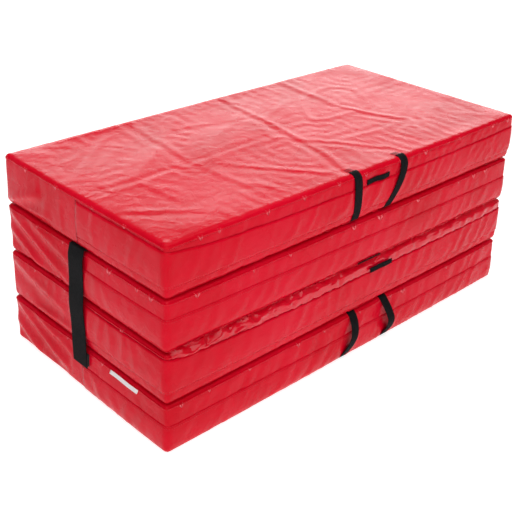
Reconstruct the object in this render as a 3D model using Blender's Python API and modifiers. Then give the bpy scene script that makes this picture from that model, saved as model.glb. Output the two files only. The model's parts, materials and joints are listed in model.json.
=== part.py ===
"""Folding crash mat: four foam panels in zipped covers, joined edge to edge so that they fold in a zigzag.

Metres, +Z up. The mat stands folded, as it is stored and carried. The origin is the middle of its
footprint on the floor, +X runs along the fold edges, -Y is the side with the carrying handles.
Panels are numbered from the floor up. Fold 1-2 and fold 3-4 are at the back, fold 2-3 is at the front.
"""

import math

import bmesh
import bpy
from mathutils import Vector

# Panel sizes
PANEL_LENGTH = 1.200
PANEL_WIDTH = 0.600
PANEL_THICKNESS = 0.120
PANEL_COUNT = 4
STACK_GAP = 0.006
CORNER_RADIUS = 0.022
RIM_RADIUS = 0.008
SIDE_DRAW = 0.003
END_DRAW = 0.0015

# Clearances
FIT_GAP = 0.0003
CORE_CLEARANCE = 0.0007
FACE_CLEARANCE = 0.0006
HANDLE_CLEARANCE = 0.0005

# Cover, zip and the flap that hides the zip
COVER_THICKNESS = 0.0008
ZIP_WIDTH = 0.010
ZIP_COIL_WIDTH = 0.004
ZIP_COIL_HEIGHT = 0.0010
ZIP_STOP_FROM_MIDDLE = 0.020
SLIDER_LENGTH = 0.012
SLIDER_WALL = 0.0007
FLAP_THICKNESS = 0.0008
FLAP_EDGE_AT_CORNER = 0.020
FLAP_EDGE_AT_MIDDLE = 0.042
FLAP_SEAM_SHARE = 0.60
FLAP_SLOPE = 0.004

# Webbing tabs beside the flaps
TAB_LENGTH = 0.080
TAB_WIDTH = 0.012
TAB_THICKNESS = 0.0012
TAB_FROM_FLAP = 0.001

# Folds between the panels
HINGE_REACH = 0.012
HINGE_SEWN_WIDTH = 0.010
HINGE_THICKNESS = 0.0010
HINGE_END_MARGIN = 0.030

# Carrying handles
HANDLE_WIDTH = 0.025
HANDLE_THICKNESS = 0.002
HANDLE_SEWN_LENGTH = 0.024
HANDLE_SLOPE = 0.014
HANDLE_MIDDLE_X = 0.025
TOP_HANDLE_SPACING = 0.150
BOTTOM_HANDLE_SPACING = 0.125

# Closing straps on the two short ends
STRAP_WIDTH = 0.055
STRAP_THICKNESS = 0.0015
STRAP_OVERLAP = 0.045
STRAP_SEWN_LENGTH = 0.030
PAD_THICKNESS = 0.0010
PAD_MARGIN = 0.002
PAD_FROM_TOP = 0.010

# Sewn-in label, left blank
LABEL_LENGTH = 0.080
LABEL_HEIGHT = 0.010
LABEL_THICKNESS = 0.0005
LABEL_FROM_MIDDLE = 0.126

# How finely the curved fabric is cut into flat faces
CORNER_SEGMENTS = 3
RIM_SEGMENTS = 2
COVER_CELLS_X = 10
COVER_CELLS_Y = 6
CORE_CELLS_X = 6
CORE_CELLS_Y = 4
END_CELLS = 3
HINGE_CELLS = 10
HANDLE_CURVE_CELLS = 3

# Sizes that follow from the ones above
PITCH = PANEL_THICKNESS + STACK_GAP
CROWN = (STACK_GAP - FACE_CLEARANCE) / 2
CORE_INSET = COVER_THICKNESS + CORE_CLEARANCE
FLAP_SEAM = FLAP_SEAM_SHARE * PANEL_THICKNESS
ZIP_CENTRE = (FLAP_EDGE_AT_MIDDLE + FLAP_SEAM) / 2
SLIDER_TOP = ZIP_COIL_HEIGHT + FIT_GAP + SLIDER_WALL
FLAP_STANDOFF = SLIDER_TOP + FIT_GAP
FLAP_PROUD = FLAP_STANDOFF + FLAP_THICKNESS
HANDLE_BOW = HINGE_REACH - HANDLE_THICKNESS - HANDLE_CLEARANCE
PAD_STANDOFF = FLAP_PROUD + FIT_GAP
STRAP_STANDOFF = PAD_STANDOFF + PAD_THICKNESS + FIT_GAP
STRAP_PLANE_X = PANEL_LENGTH / 2 + STRAP_STANDOFF + STRAP_THICKNESS / 2
TOP_PANEL = PANEL_COUNT - 1
STRAP_PIVOT_Z = TOP_PANEL * PITCH - FIT_GAP - STRAP_THICKNESS / 2
STRAP_END_Z = PANEL_THICKNESS - STRAP_OVERLAP


def clear_scene():
    for obj in list(bpy.data.objects):
        bpy.data.objects.remove(obj, do_unlink=True)


def make_material(name, colour, roughness, metallic=0.0):
    material = bpy.data.materials.new(name)
    material.use_nodes = True
    shader = material.node_tree.nodes["Principled BSDF"]
    shader.inputs["Base Color"].default_value = (*colour, 1.0)
    shader.inputs["Roughness"].default_value = roughness
    shader.inputs["Metallic"].default_value = metallic
    return material


def zip_side_is_up(panel):
    """The zip side alternates up the stack, because the panels fold in a zigzag."""
    return panel % 2 == 1


def height_at(panel, drop):
    """Height in the panel of a line that lies `drop` from the rim on the zip side."""
    return PANEL_THICKNESS - drop if zip_side_is_up(panel) else drop


def dome(x, y):
    """1 in the middle of the panel, 0 at its four sides."""
    along = max(0.0, 1 - (2 * x / PANEL_LENGTH) ** 2)
    across = max(0.0, 1 - (2 * y / PANEL_WIDTH) ** 2)
    return along * across


def front_draw(x):
    """How far a long side is drawn in at x."""
    return SIDE_DRAW * max(0.0, 1 - (2 * x / PANEL_LENGTH) ** 2)


def end_draw(y):
    """How far a short side is drawn in at y."""
    return END_DRAW * max(0.0, 1 - (2 * y / PANEL_WIDTH) ** 2)


def swollen(point, panel):
    """Moves a point of the straight-sided panel to its place on the crowned one with drawn-in sides."""
    x, y, z = point
    height = min(1.0, max(0.0, z / PANEL_THICKNESS))
    lift = height if panel == 0 else 2 * height - 1
    draw_y = front_draw(x) * min(1.0, abs(y) / (PANEL_WIDTH / 2))
    draw_x = end_draw(y) * min(1.0, abs(x) / (PANEL_LENGTH / 2))
    return Vector((
        x - math.copysign(draw_x, x),
        y - math.copysign(draw_y, y),
        z + CROWN * lift * dome(x, y),
    ))


def add_object(name, bm, material, collection, smooth_angle=40):
    mesh = bpy.data.meshes.new(name)
    bm.to_mesh(mesh)
    bm.free()
    mesh.shade_smooth()
    mesh.set_sharp_from_angle(angle=math.radians(smooth_angle))
    mesh.materials.append(material)
    obj = bpy.data.objects.new(name, mesh)
    collection.objects.link(obj)
    return obj


def add_thickness(obj, thickness, side):
    """side is 1 to grow along the face normals, -1 to grow against them."""
    solidify = obj.modifiers.new("Thickness", "SOLIDIFY")
    solidify.thickness = thickness
    solidify.offset = side
    solidify.use_even_offset = True
    return obj


def bent_sheet(name, columns, rows, point, thickness, material, collection, side=1):
    """A flat grid, each of whose vertices moves to point(column, row), with a thickness."""
    bm = bmesh.new()
    bmesh.ops.create_grid(bm, x_segments=columns, y_segments=rows, size=0.5)
    for vertex in bm.verts:
        column = round((vertex.co.x + 0.5) * columns)
        row = round((vertex.co.y + 0.5) * rows)
        vertex.co = point(column, row)
    obj = add_object(name, bm, material, collection)
    return add_thickness(obj, thickness, side)


def cut_across(bm, axis, places):
    """Cuts the mesh with a plane square to the axis at each place."""
    normal = Vector((0, 0, 0))
    normal[axis] = 1
    for place in places:
        everything = bm.verts[:] + bm.edges[:] + bm.faces[:]
        bmesh.ops.bisect_plane(bm, geom=everything, dist=1e-6, plane_co=normal * place, plane_no=normal)


def evenly_between(low, high, cells):
    """The places that divide low to high into equal cells, without its two ends."""
    return [low + (high - low) * i / cells for i in range(1, cells)]


def rounded_block(inset):
    """The panel's block with round upright corners and round rims, smaller by inset on every side."""
    length = PANEL_LENGTH - 2 * inset
    width = PANEL_WIDTH - 2 * inset
    low = inset
    high = PANEL_THICKNESS - inset
    bm = bmesh.new()
    bmesh.ops.create_cube(bm, size=1)
    bmesh.ops.scale(bm, vec=(length, width, high - low), verts=bm.verts)
    bmesh.ops.translate(bm, vec=(0, 0, (low + high) / 2), verts=bm.verts)
    upright = [e for e in bm.edges if abs(e.verts[0].co.z - e.verts[1].co.z) > FIT_GAP]
    bmesh.ops.bevel(
        bm, geom=upright, offset=CORNER_RADIUS - inset, segments=CORNER_SEGMENTS,
        profile=0.5, affect="EDGES",
    )
    rims = [e for e in bm.edges if abs(e.verts[0].co.z - e.verts[1].co.z) < FIT_GAP]
    bmesh.ops.bevel(
        bm, geom=rims, offset=RIM_RADIUS - inset, segments=RIM_SEGMENTS,
        profile=0.5, affect="EDGES",
    )
    return bm


def swell(bm, panel):
    for vertex in bm.verts:
        vertex.co = swollen(vertex.co, panel)


def make_cover(panel, material, collection):
    """Coated cloth cover: a thin shell, open along its zip on the front and half of each end."""
    bm = rounded_block(0)
    zip_low = height_at(panel, ZIP_CENTRE) - ZIP_WIDTH / 2
    zip_high = zip_low + ZIP_WIDTH
    straight_x = PANEL_LENGTH / 2 - CORNER_RADIUS
    straight_y = PANEL_WIDTH / 2 - CORNER_RADIUS
    cut_across(bm, 0, evenly_between(-straight_x, straight_x, COVER_CELLS_X))
    cut_across(bm, 1, evenly_between(-straight_y, straight_y, COVER_CELLS_Y))
    cut_across(bm, 1, [-ZIP_STOP_FROM_MIDDLE])
    cut_across(bm, 2, [zip_low, zip_high])
    opening = [
        face for face in bm.faces
        if zip_low < face.calc_center_median().z < zip_high
        and face.calc_center_median().y < -ZIP_STOP_FROM_MIDDLE
    ]
    bmesh.ops.delete(bm, geom=opening, context="FACES")
    swell(bm, panel)
    obj = add_object(f"cover_{panel + 1}", bm, material, collection)
    return add_thickness(obj, COVER_THICKNESS, -1)


def make_core(panel, material, collection):
    """Soft foam block that fills the cover."""
    bm = rounded_block(CORE_INSET)
    straight_x = PANEL_LENGTH / 2 - CORNER_RADIUS
    straight_y = PANEL_WIDTH / 2 - CORNER_RADIUS
    cut_across(bm, 0, evenly_between(-straight_x, straight_x, CORE_CELLS_X))
    cut_across(bm, 1, evenly_between(-straight_y, straight_y, CORE_CELLS_Y))
    swell(bm, panel)
    return add_object(f"foam_core_{panel + 1}", bm, material, collection)


def route_round_front(from_middle):
    """Stations from the left end, round the front to the right end: each a place and which way is out.

    The route starts and ends from_middle in front of the middle of each short end.
    """
    straight_x = PANEL_LENGTH / 2 - CORNER_RADIUS
    straight_y = PANEL_WIDTH / 2 - CORNER_RADIUS
    stations = []
    for y in [-from_middle, *evenly_between(-from_middle, -straight_y, END_CELLS)]:
        stations.append((-PANEL_LENGTH / 2, y, -1.0, 0.0))
    for i in range(CORNER_SEGMENTS + 1):
        turn = math.pi / 2 * i / CORNER_SEGMENTS
        out_x, out_y = -math.cos(turn), -math.sin(turn)
        x = -straight_x + CORNER_RADIUS * out_x
        y = -straight_y + CORNER_RADIUS * out_y
        stations.append((x, y, out_x, out_y))
    left_half = list(stations)
    for x in evenly_between(-straight_x, straight_x, COVER_CELLS_X):
        stations.append((x, -PANEL_WIDTH / 2, 0.0, -1.0))
    for x, y, out_x, out_y in reversed(left_half):
        stations.append((-x, y, -out_x, out_y))
    return stations


def on_side(station, outward, z, panel):
    """The point at height z that stands `outward` from the panel's side at a station of the route."""
    x, y, out_x, out_y = station
    return swollen((x + out_x * outward, y + out_y * outward, z), panel)


def make_zip(panel, material, collection):
    """Zip tape in the cover's opening, with its coil standing up along the middle."""
    route = route_round_front(ZIP_STOP_FROM_MIDDLE + FIT_GAP)
    half_tape = ZIP_WIDTH / 2 - FIT_GAP
    half_coil = ZIP_COIL_WIDTH / 2
    half_foot = half_coil + FIT_GAP
    rising = [(-half_tape, 0), (-half_foot, 0), (-half_coil, ZIP_COIL_HEIGHT)]
    section = rising + [(-rise, outward) for rise, outward in reversed(rising)]
    middle = height_at(panel, ZIP_CENTRE)

    def point(column, row):
        rise, outward = section[row]
        return on_side(route[column], outward, middle + rise, panel)

    columns = len(route) - 1
    rows = len(section) - 1
    name = f"zip_{panel + 1}"
    return bent_sheet(name, columns, rows, point, COVER_THICKNESS, material, collection, side=-1)


def flap_edge(station):
    """Distance of the flap's free edge from the rim: it sags in the middle of the long side."""
    x, y, out_x, out_y = station
    sag = max(0.0, 1 - (2 * x / PANEL_LENGTH) ** 2)
    return FLAP_EDGE_AT_CORNER + (FLAP_EDGE_AT_MIDDLE - FLAP_EDGE_AT_CORNER) * sag


def make_flap(panel, material, collection):
    """Storm flap over the zip: sewn down along one edge, free along the other, arched over the slider."""
    route = route_round_front(0)
    columns = len(route) - 1
    side = 1 if zip_side_is_up(panel) else -1

    def point(column, row):
        station = route[column]
        section = [
            (FLAP_SEAM, FIT_GAP),
            (ZIP_CENTRE + ZIP_WIDTH / 2 + FLAP_SLOPE, FLAP_STANDOFF),
            (ZIP_CENTRE - ZIP_WIDTH / 2 - FLAP_SLOPE, FLAP_STANDOFF),
            (flap_edge(station), FIT_GAP),
        ]
        drop, outward = section[row]
        return on_side(station, outward, height_at(panel, drop), panel)

    name = f"zip_flap_{panel + 1}"
    return bent_sheet(name, columns, 3, point, FLAP_THICKNESS, material, collection, side=side)


def slider_centre_y():
    return -(ZIP_STOP_FROM_MIDDLE + FIT_GAP + SLIDER_LENGTH)


def make_slider(panel, material, collection):
    """Zip slider, parked at the right-hand stop: a channel that straddles the coil."""
    half_gap = ZIP_COIL_WIDTH / 2 + 2 * FIT_GAP
    roof = ZIP_COIL_HEIGHT + FIT_GAP
    section = [(-half_gap, FIT_GAP), (-half_gap, roof), (half_gap, roof), (half_gap, FIT_GAP)]
    middle = height_at(panel, ZIP_CENTRE)
    centre = slider_centre_y()

    def point(column, row):
        rise, outward = section[row]
        y = centre + SLIDER_LENGTH * (column - 0.5)
        station = (PANEL_LENGTH / 2, centre, 1.0, 0.0)
        place = on_side(station, outward, middle + rise, panel)
        return Vector((place.x, y, place.z))

    return bent_sheet(f"zip_slider_{panel + 1}", 1, 3, point, SLIDER_WALL, material, collection)


def make_tab(panel, material, collection):
    """Short webbing strip sewn across the middle of the long side, just outside the flap's edge."""
    near = FLAP_EDGE_AT_MIDDLE - TAB_FROM_FLAP
    drops = [near, near - TAB_WIDTH]
    side = 1 if zip_side_is_up(panel) else -1

    def point(column, row):
        x = HANDLE_MIDDLE_X + TAB_LENGTH * (column - 0.5)
        station = (x, -PANEL_WIDTH / 2, 0.0, -1.0)
        return on_side(station, FIT_GAP, height_at(panel, drops[row]), panel)

    name = f"flap_tab_{panel + 1}"
    return bent_sheet(name, 1, 1, point, TAB_THICKNESS, material, collection, side=side)


def fold_is_at_back(panel):
    """The fold under a panel is at the back or the front by turns."""
    return panel % 2 == 1


def make_hinge_half(panel, is_upper, material, collection):
    """Half of the cloth of a fold: sewn to its own side by the rim, then out to just short of the axis."""
    name = f"hinge_{panel}_{panel + 1}_" + ("upper" if is_upper else "lower")
    outward = 1 if fold_is_at_back(panel) else -1
    half_length = PANEL_LENGTH / 2 - HINGE_END_MARGIN
    rim = RIM_RADIUS
    axis_drop = -(STACK_GAP / 2 - FIT_GAP / 2)
    section = [
        (FIT_GAP, rim + HINGE_SEWN_WIDTH, 1.0),
        (FIT_GAP, rim, 1.0),
        (HINGE_REACH / 2, axis_drop / 2, 0.5),
        (HINGE_REACH - FIT_GAP, axis_drop, 0.0),
    ]

    def point(column, row):
        reach, drop, follows_side = section[row]
        x = half_length * (2 * column / HINGE_CELLS - 1)
        y = PANEL_WIDTH / 2 + reach - front_draw(x) * follows_side
        z = drop if is_upper else PANEL_THICKNESS - drop
        return Vector((x, outward * y, z))

    side = 1 if fold_is_at_back(panel) == is_upper else -1
    rows = len(section) - 1
    return bent_sheet(name, HINGE_CELLS, rows, point, HINGE_THICKNESS, material, collection, side=side)


def make_handle(name, panel, centre_x, material, collection):
    """Webbing handle sewn to the front by each rim, standing off between so that a hand goes under it."""
    low = RIM_RADIUS + FIT_GAP
    high = PANEL_THICKNESS - low
    slope_start = low + HANDLE_SEWN_LENGTH
    path = [(low, 0.0)]
    for i in range(HANDLE_CURVE_CELLS + 1):
        share = i / HANDLE_CURVE_CELLS
        bow = HANDLE_BOW * (1 - math.cos(math.pi * share)) / 2
        path.append((slope_start + HANDLE_SLOPE * share, bow))
    path += [(PANEL_THICKNESS - z, bow) for z, bow in reversed(path)]
    path[-1] = (high, 0.0)

    def point(column, row):
        z, bow = path[row]
        x = centre_x + HANDLE_WIDTH * (column - 0.5)
        return on_side((x, -PANEL_WIDTH / 2, 0.0, -1.0), FIT_GAP + bow, z, panel)

    return bent_sheet(name, 1, len(path) - 1, point, HANDLE_THICKNESS, material, collection)


def make_strap(name, end, material, collection):
    """Closing strap: hangs from its pivot in the gap under the top panel down to the bottom panel."""
    length = STRAP_PIVOT_Z - STRAP_END_Z

    def point(column, row):
        return Vector((-end * STRAP_THICKNESS / 2, STRAP_WIDTH * (column - 0.5), -length * row))

    return bent_sheet(name, 1, 1, point, STRAP_THICKNESS, material, collection, side=-end)


def make_strap_anchor(name, end, material, collection):
    """The strap's sewn end: it lies flat under the top panel, out to the strap's pivot."""
    inner = PANEL_LENGTH / 2 - STRAP_SEWN_LENGTH
    outer = STRAP_PLANE_X - STRAP_THICKNESS / 2 - FIT_GAP
    places = [inner, PANEL_LENGTH / 2, outer]

    def point(column, row):
        x = end * places[row]
        y = STRAP_WIDTH * (column - 0.5)
        return Vector((x, y, swollen((x, y, -FIT_GAP), TOP_PANEL).z))

    return bent_sheet(name, 1, 2, point, STRAP_THICKNESS, material, collection, side=end)


def make_hook_pad(name, end, material, collection):
    """Hook pad sewn to the inside of the strap's free end."""
    inward = STRAP_THICKNESS / 2 + FIT_GAP
    top = -(STRAP_PIVOT_Z - PANEL_THICKNESS + PAD_FROM_TOP)
    bottom = -(STRAP_PIVOT_Z - STRAP_END_Z - PAD_MARGIN)
    heights = [top, bottom]
    width = STRAP_WIDTH - 2 * PAD_MARGIN

    def point(column, row):
        return Vector((-end * inward, width * (column - 0.5), heights[row]))

    return bent_sheet(name, 1, 1, point, PAD_THICKNESS, material, collection, side=end)


def make_loop_pad(name, end, material, collection):
    """Loop pad sewn to the bottom panel's end, where the strap presses on."""
    heights = [PANEL_THICKNESS - PAD_FROM_TOP, STRAP_END_Z + PAD_MARGIN]
    width = STRAP_WIDTH - 2 * PAD_MARGIN

    def point(column, row):
        station = (end * PANEL_LENGTH / 2, width * (column - 0.5), float(end), 0.0)
        return on_side(station, FIT_GAP, heights[row], 0)

    return bent_sheet(name, 1, 1, point, PAD_THICKNESS, material, collection, side=-end)


def make_label(material, collection):
    """Blank label sewn by the rim of the bottom panel's left end."""
    top = PANEL_THICKNESS - RIM_RADIUS
    heights = [top, top - LABEL_HEIGHT]

    def point(column, row):
        y = -LABEL_FROM_MIDDLE + LABEL_LENGTH * (column - 0.5)
        return on_side((-PANEL_LENGTH / 2, y, -1.0, 0.0), FIT_GAP, heights[row], 0)

    return bent_sheet("label", 1, 1, point, LABEL_THICKNESS, material, collection)


def add_pivot(name, place, parent, collection):
    """An empty at a world place, on the axis of the joint that it turns or slides about."""
    pivot = bpy.data.objects.new(name, None)
    pivot.empty_display_size = 0.05
    collection.objects.link(pivot)
    pivot["world_place"] = place
    hang_on(pivot, place, parent)
    return pivot


def hang_on(obj, place, parent):
    """Puts the object at a world place, as a child of the parent where there is one."""
    if parent is None:
        obj.location = place
        return
    obj.parent = parent
    obj.location = Vector(place) - Vector(parent["world_place"])


def build():
    clear_scene()
    collection = bpy.data.collections.new("folding_crash_mat")
    bpy.context.scene.collection.children.link(collection)

    red_vinyl = make_material("red_vinyl", (0.62, 0.022, 0.035), 0.30)
    foam = make_material("foam", (0.86, 0.83, 0.72), 0.95)
    black_webbing = make_material("black_webbing", (0.014, 0.014, 0.015), 0.75)
    zip_black = make_material("zip_black", (0.02, 0.02, 0.022), 0.55)
    hook_and_loop = make_material("hook_and_loop", (0.018, 0.018, 0.02), 0.9)
    white_tape = make_material("white_tape", (0.85, 0.84, 0.83), 0.6)

    back_axis = PANEL_WIDTH / 2 + HINGE_REACH
    pivots = [None]
    for panel in range(1, PANEL_COUNT):
        axis_y = back_axis if fold_is_at_back(panel) else -back_axis
        place = (0.0, axis_y, panel * PITCH - STACK_GAP / 2)
        pivots.append(add_pivot(f"fold_{panel}_{panel + 1}_axis", place, pivots[-1], collection))

    def on_panel(obj, panel):
        hang_on(obj, (0.0, 0.0, panel * PITCH), pivots[panel])

    for panel in range(PANEL_COUNT):
        on_panel(make_cover(panel, red_vinyl, collection), panel)
        on_panel(make_core(panel, foam, collection), panel)
        on_panel(make_zip(panel, zip_black, collection), panel)
        on_panel(make_flap(panel, red_vinyl, collection), panel)
        if panel > 0:
            on_panel(make_tab(panel, black_webbing, collection), panel)
            on_panel(make_hinge_half(panel, False, red_vinyl, collection), panel - 1)
            on_panel(make_hinge_half(panel, True, red_vinyl, collection), panel)
        slider_place = (PANEL_LENGTH / 2, slider_centre_y(), panel * PITCH + height_at(panel, ZIP_CENTRE))
        slider_pivot = add_pivot(f"zip_slider_{panel + 1}_axis", slider_place, pivots[panel], collection)
        hang_on(make_slider(panel, zip_black, collection), (0.0, 0.0, panel * PITCH), slider_pivot)

    handle_pairs = ((TOP_PANEL, TOP_HANDLE_SPACING, "top"), (0, BOTTOM_HANDLE_SPACING, "bottom"))
    for panel, spacing, place in handle_pairs:
        for side, name in ((-1, "left"), (1, "right")):
            centre_x = HANDLE_MIDDLE_X + side * spacing / 2
            handle = make_handle(f"handle_{place}_{name}", panel, centre_x, black_webbing, collection)
            on_panel(handle, panel)

    for end, name in ((-1, "left"), (1, "right")):
        place = (end * STRAP_PLANE_X, 0.0, STRAP_PIVOT_Z)
        pivot = add_pivot(f"strap_{name}_axis", place, pivots[TOP_PANEL], collection)
        hang_on(make_strap(f"strap_{name}", end, black_webbing, collection), place, pivot)
        hang_on(make_hook_pad(f"strap_hook_pad_{name}", end, hook_and_loop, collection), place, pivot)
        on_panel(make_strap_anchor(f"strap_anchor_{name}", end, black_webbing, collection), TOP_PANEL)
        on_panel(make_loop_pad(f"loop_pad_{name}", end, hook_and_loop, collection), 0)

    on_panel(make_label(white_tape, collection), 0)


build()
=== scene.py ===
# %% [markdown]
# # Dressing a folding crash mat
# The solids of the mat are finished: four foam panels folded in a zigzag, with zips, handles and straps.
# This lesson gives them their looks. The covers are glossy coated cloth that creases, puckers at its
# seams and hangs a little loose round the foam, so most of the work is in making smooth cloth out of a
# plain box.

# %% Load the solids
import json
import math

import bmesh
import bpy
import numpy as np
from mathutils import Matrix, Vector, noise
from mathutils.bvhtree import BVHTree


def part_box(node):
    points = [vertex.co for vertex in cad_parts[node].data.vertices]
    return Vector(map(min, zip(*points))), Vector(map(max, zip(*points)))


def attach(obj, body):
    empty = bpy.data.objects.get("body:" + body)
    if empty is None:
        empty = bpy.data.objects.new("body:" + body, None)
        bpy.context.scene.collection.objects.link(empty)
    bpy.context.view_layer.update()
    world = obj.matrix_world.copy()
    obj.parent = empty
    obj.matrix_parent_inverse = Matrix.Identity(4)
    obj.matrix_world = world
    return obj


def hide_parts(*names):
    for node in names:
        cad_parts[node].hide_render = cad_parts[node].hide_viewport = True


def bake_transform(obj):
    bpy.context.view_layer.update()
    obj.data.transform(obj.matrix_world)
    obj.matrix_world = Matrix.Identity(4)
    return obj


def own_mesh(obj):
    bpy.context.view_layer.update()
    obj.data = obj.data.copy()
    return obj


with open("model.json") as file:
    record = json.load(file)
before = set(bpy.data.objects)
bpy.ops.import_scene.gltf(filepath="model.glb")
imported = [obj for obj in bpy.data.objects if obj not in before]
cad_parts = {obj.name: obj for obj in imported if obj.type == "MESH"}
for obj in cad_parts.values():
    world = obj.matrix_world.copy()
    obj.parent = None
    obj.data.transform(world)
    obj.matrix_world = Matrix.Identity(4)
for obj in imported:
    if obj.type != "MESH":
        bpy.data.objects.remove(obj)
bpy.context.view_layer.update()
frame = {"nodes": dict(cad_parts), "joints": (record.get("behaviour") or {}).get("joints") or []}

# %% [markdown]
# ## The sizes that the cloth follows
# A cover is cut to its foam, so every length here is the panel's own. The height from one panel to the
# next is read from the fold axes of the loaded solids, and the rest are the maker's cutting sizes.

# %% Sizes
PANELS = (1, 2, 3, 4)
PANEL_LENGTH = 1.200
PANEL_WIDTH = 0.600
PANEL_THICKNESS = 0.120
CORNER_RADIUS = 0.008
RIM_AT_CORNER = 0.008
RIM_AT_MIDDLE = {4: 0.020, 3: 0.009, 2: 0.012, 1: 0.009}
LOW_RIM = 0.0058
SIDE_BELLY = 0.0075
END_BELLY = 0.0050
LEAST_GAP = 0.0006

joints = {j["name"]: j for j in frame["joints"]}
FOLD_Z = [joints[name]["pos_m"][2] for name in ("fold_1_2", "fold_2_3", "fold_3_4")]
PITCH = FOLD_Z[1] - FOLD_Z[0]
STACK_GAP = PITCH - PANEL_THICKNESS
CROWN = (STACK_GAP - LEAST_GAP) / 2
print("panel pitch", round(1000 * PITCH, 1), "mm, gap", round(1000 * STACK_GAP, 1), "mm")

# %% [markdown]
# ## Camera
# A product photograph like this one is taken from above the near corner with a longish lens. The camera
# is placed with three turns: its heading over the floor, its tilt down and a small roll. A slight lens
# shift moves the mat to its place in the picture without tilting the camera further.

# %% Camera
CAMERA_PLACE = Vector((-1.592, -1.552, 1.337))
CAMERA_HEADING = math.radians(43.70)
CAMERA_TILT = math.radians(24.25)
CAMERA_ROLL = math.radians(1.89)
CAMERA_LENS = 66.2
SHIFT_X = 0.0215
SHIFT_Y = -0.129


def add_object(name, data):
    """Puts a mesh, a lamp or a camera into the scene under a name."""
    obj = bpy.data.objects.new(name, data)
    bpy.context.scene.collection.objects.link(obj)
    return obj


def make_camera():
    forward = Vector((
        math.sin(CAMERA_HEADING) * math.cos(CAMERA_TILT),
        math.cos(CAMERA_HEADING) * math.cos(CAMERA_TILT),
        -math.sin(CAMERA_TILT),
    ))
    level_right = Vector((math.cos(CAMERA_HEADING), -math.sin(CAMERA_HEADING), 0))
    level_up = level_right.cross(forward)
    right = math.cos(CAMERA_ROLL) * level_right + math.sin(CAMERA_ROLL) * level_up
    up = right.cross(forward)
    data = bpy.data.cameras.new("camera")
    data.lens = CAMERA_LENS
    data.shift_x = SHIFT_X
    data.shift_y = SHIFT_Y
    camera = add_object("camera", data)
    camera.matrix_world = Matrix((
        (right.x, up.x, -forward.x, CAMERA_PLACE.x),
        (right.y, up.y, -forward.y, CAMERA_PLACE.y),
        (right.z, up.z, -forward.z, CAMERA_PLACE.z),
        (0, 0, 0, 1),
    ))
    bpy.context.scene.camera = camera


make_camera()
print("camera set, lens", CAMERA_LENS, "mm")

# %% [markdown]
# ## Node helpers
# Every finish below is a small graph of nodes. These helpers keep each material short: one sets values,
# one adds a node, one adds a texture that reads its place on the mat in metres, one makes a colour ramp,
# and one stacks bumps, so that large soft dents and fine grain each keep their own depth.

# %% Helpers for materials


def set_values(node, **values):
    """Sets sockets by name, with _ for a space, and anything else as a property of the node."""
    for key, value in values.items():
        socket = key.replace("_", " ")
        if socket in node.inputs:
            node.inputs[socket].default_value = value
        else:
            setattr(node, key, value)


def new_material(name):
    material = bpy.data.materials.new(name)
    material.use_nodes = True
    tree = material.node_tree
    return material, tree, tree.nodes["Principled BSDF"]


def add_node(tree, kind, **values):
    node = tree.nodes.new("ShaderNode" + kind)
    set_values(node, **values)
    return node


def scaled_place(tree, scale=(1, 1, 1)):
    """Object coordinates in metres, stretched by scale along each axis."""
    place = add_node(tree, "TexCoord")
    mapping = add_node(tree, "Mapping", Scale=scale)
    tree.links.new(place.outputs["Object"], mapping.inputs["Vector"])
    return mapping.outputs["Vector"]


def add_texture(tree, kind, place, **values):
    """A texture node that reads its place from the given socket."""
    node = add_node(tree, "Tex" + kind, **values)
    tree.links.new(place, node.inputs["Vector"])
    return node


def stack_bump(tree, shader, height, distance, strength=1.0):
    """Adds a bump on top of those already on the shader."""
    bump = add_node(tree, "Bump", Distance=distance, Strength=strength)
    tree.links.new(height, bump.inputs["Height"])
    before = shader.inputs["Normal"].links
    if before:
        tree.links.new(before[0].from_socket, bump.inputs["Normal"])
    tree.links.new(bump.outputs["Normal"], shader.inputs["Normal"])


def colour_ramp(tree, value, stops):
    """Turns a value into a colour: stops are (position, colour) pairs."""
    node = add_node(tree, "ValToRGB")
    elements = node.color_ramp.elements
    while len(elements) < len(stops):
        elements.new(0.5)
    for element, (position, colour) in zip(elements, stops):
        element.position = position
        element.color = (*colour, 1)
    tree.links.new(value, node.inputs["Fac"])
    return node.outputs["Color"]


print("node helpers ready")

# %% [markdown]
# ## Floor and room
# Glossy cloth shows mostly what it reflects. The sides of the mat mirror the floor, so the floor glows a
# little, like a light table, and that also keeps its colour an even white. The room round it is dim.

# %% Floor and room
FLOOR_SIZE = 30.0
FLOOR_COLOUR = (0.60, 0.60, 0.60, 1)
FLOOR_GLOW = 0.78
WORLD_LIGHT = 0.14
WHITE = (1, 1, 1, 1)


def make_floor():
    bm = bmesh.new()
    bmesh.ops.create_grid(bm, x_segments=1, y_segments=1, size=FLOOR_SIZE / 2)
    mesh = bpy.data.meshes.new("floor")
    bm.to_mesh(mesh)
    bm.free()
    material, _, shader = new_material("pale_floor")
    set_values(shader, Base_Color=FLOOR_COLOUR, Roughness=0.9, Specular_IOR_Level=0.1)
    set_values(shader, Emission_Color=WHITE, Emission_Strength=FLOOR_GLOW)
    mesh.materials.append(material)
    add_object("floor", mesh)


def make_room():
    world = bpy.data.worlds.new("studio")
    world.use_nodes = True
    set_values(world.node_tree.nodes["Background"], Color=WHITE, Strength=WORLD_LIGHT)
    bpy.context.scene.world = world


make_floor()
make_room()
print("floor", FLOOR_SIZE, "m wide")

# %% [markdown]
# ## Lamps
# The lamps are placed by what each face mirrors. The top mirrors the far side of the room low down, where
# a wide bright panel gives it a pink sheen. The rolled rims mirror the room's dim corners and stay deep
# red. The plain view transform keeps the floor white, where Blender's usual one would grey it.

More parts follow.
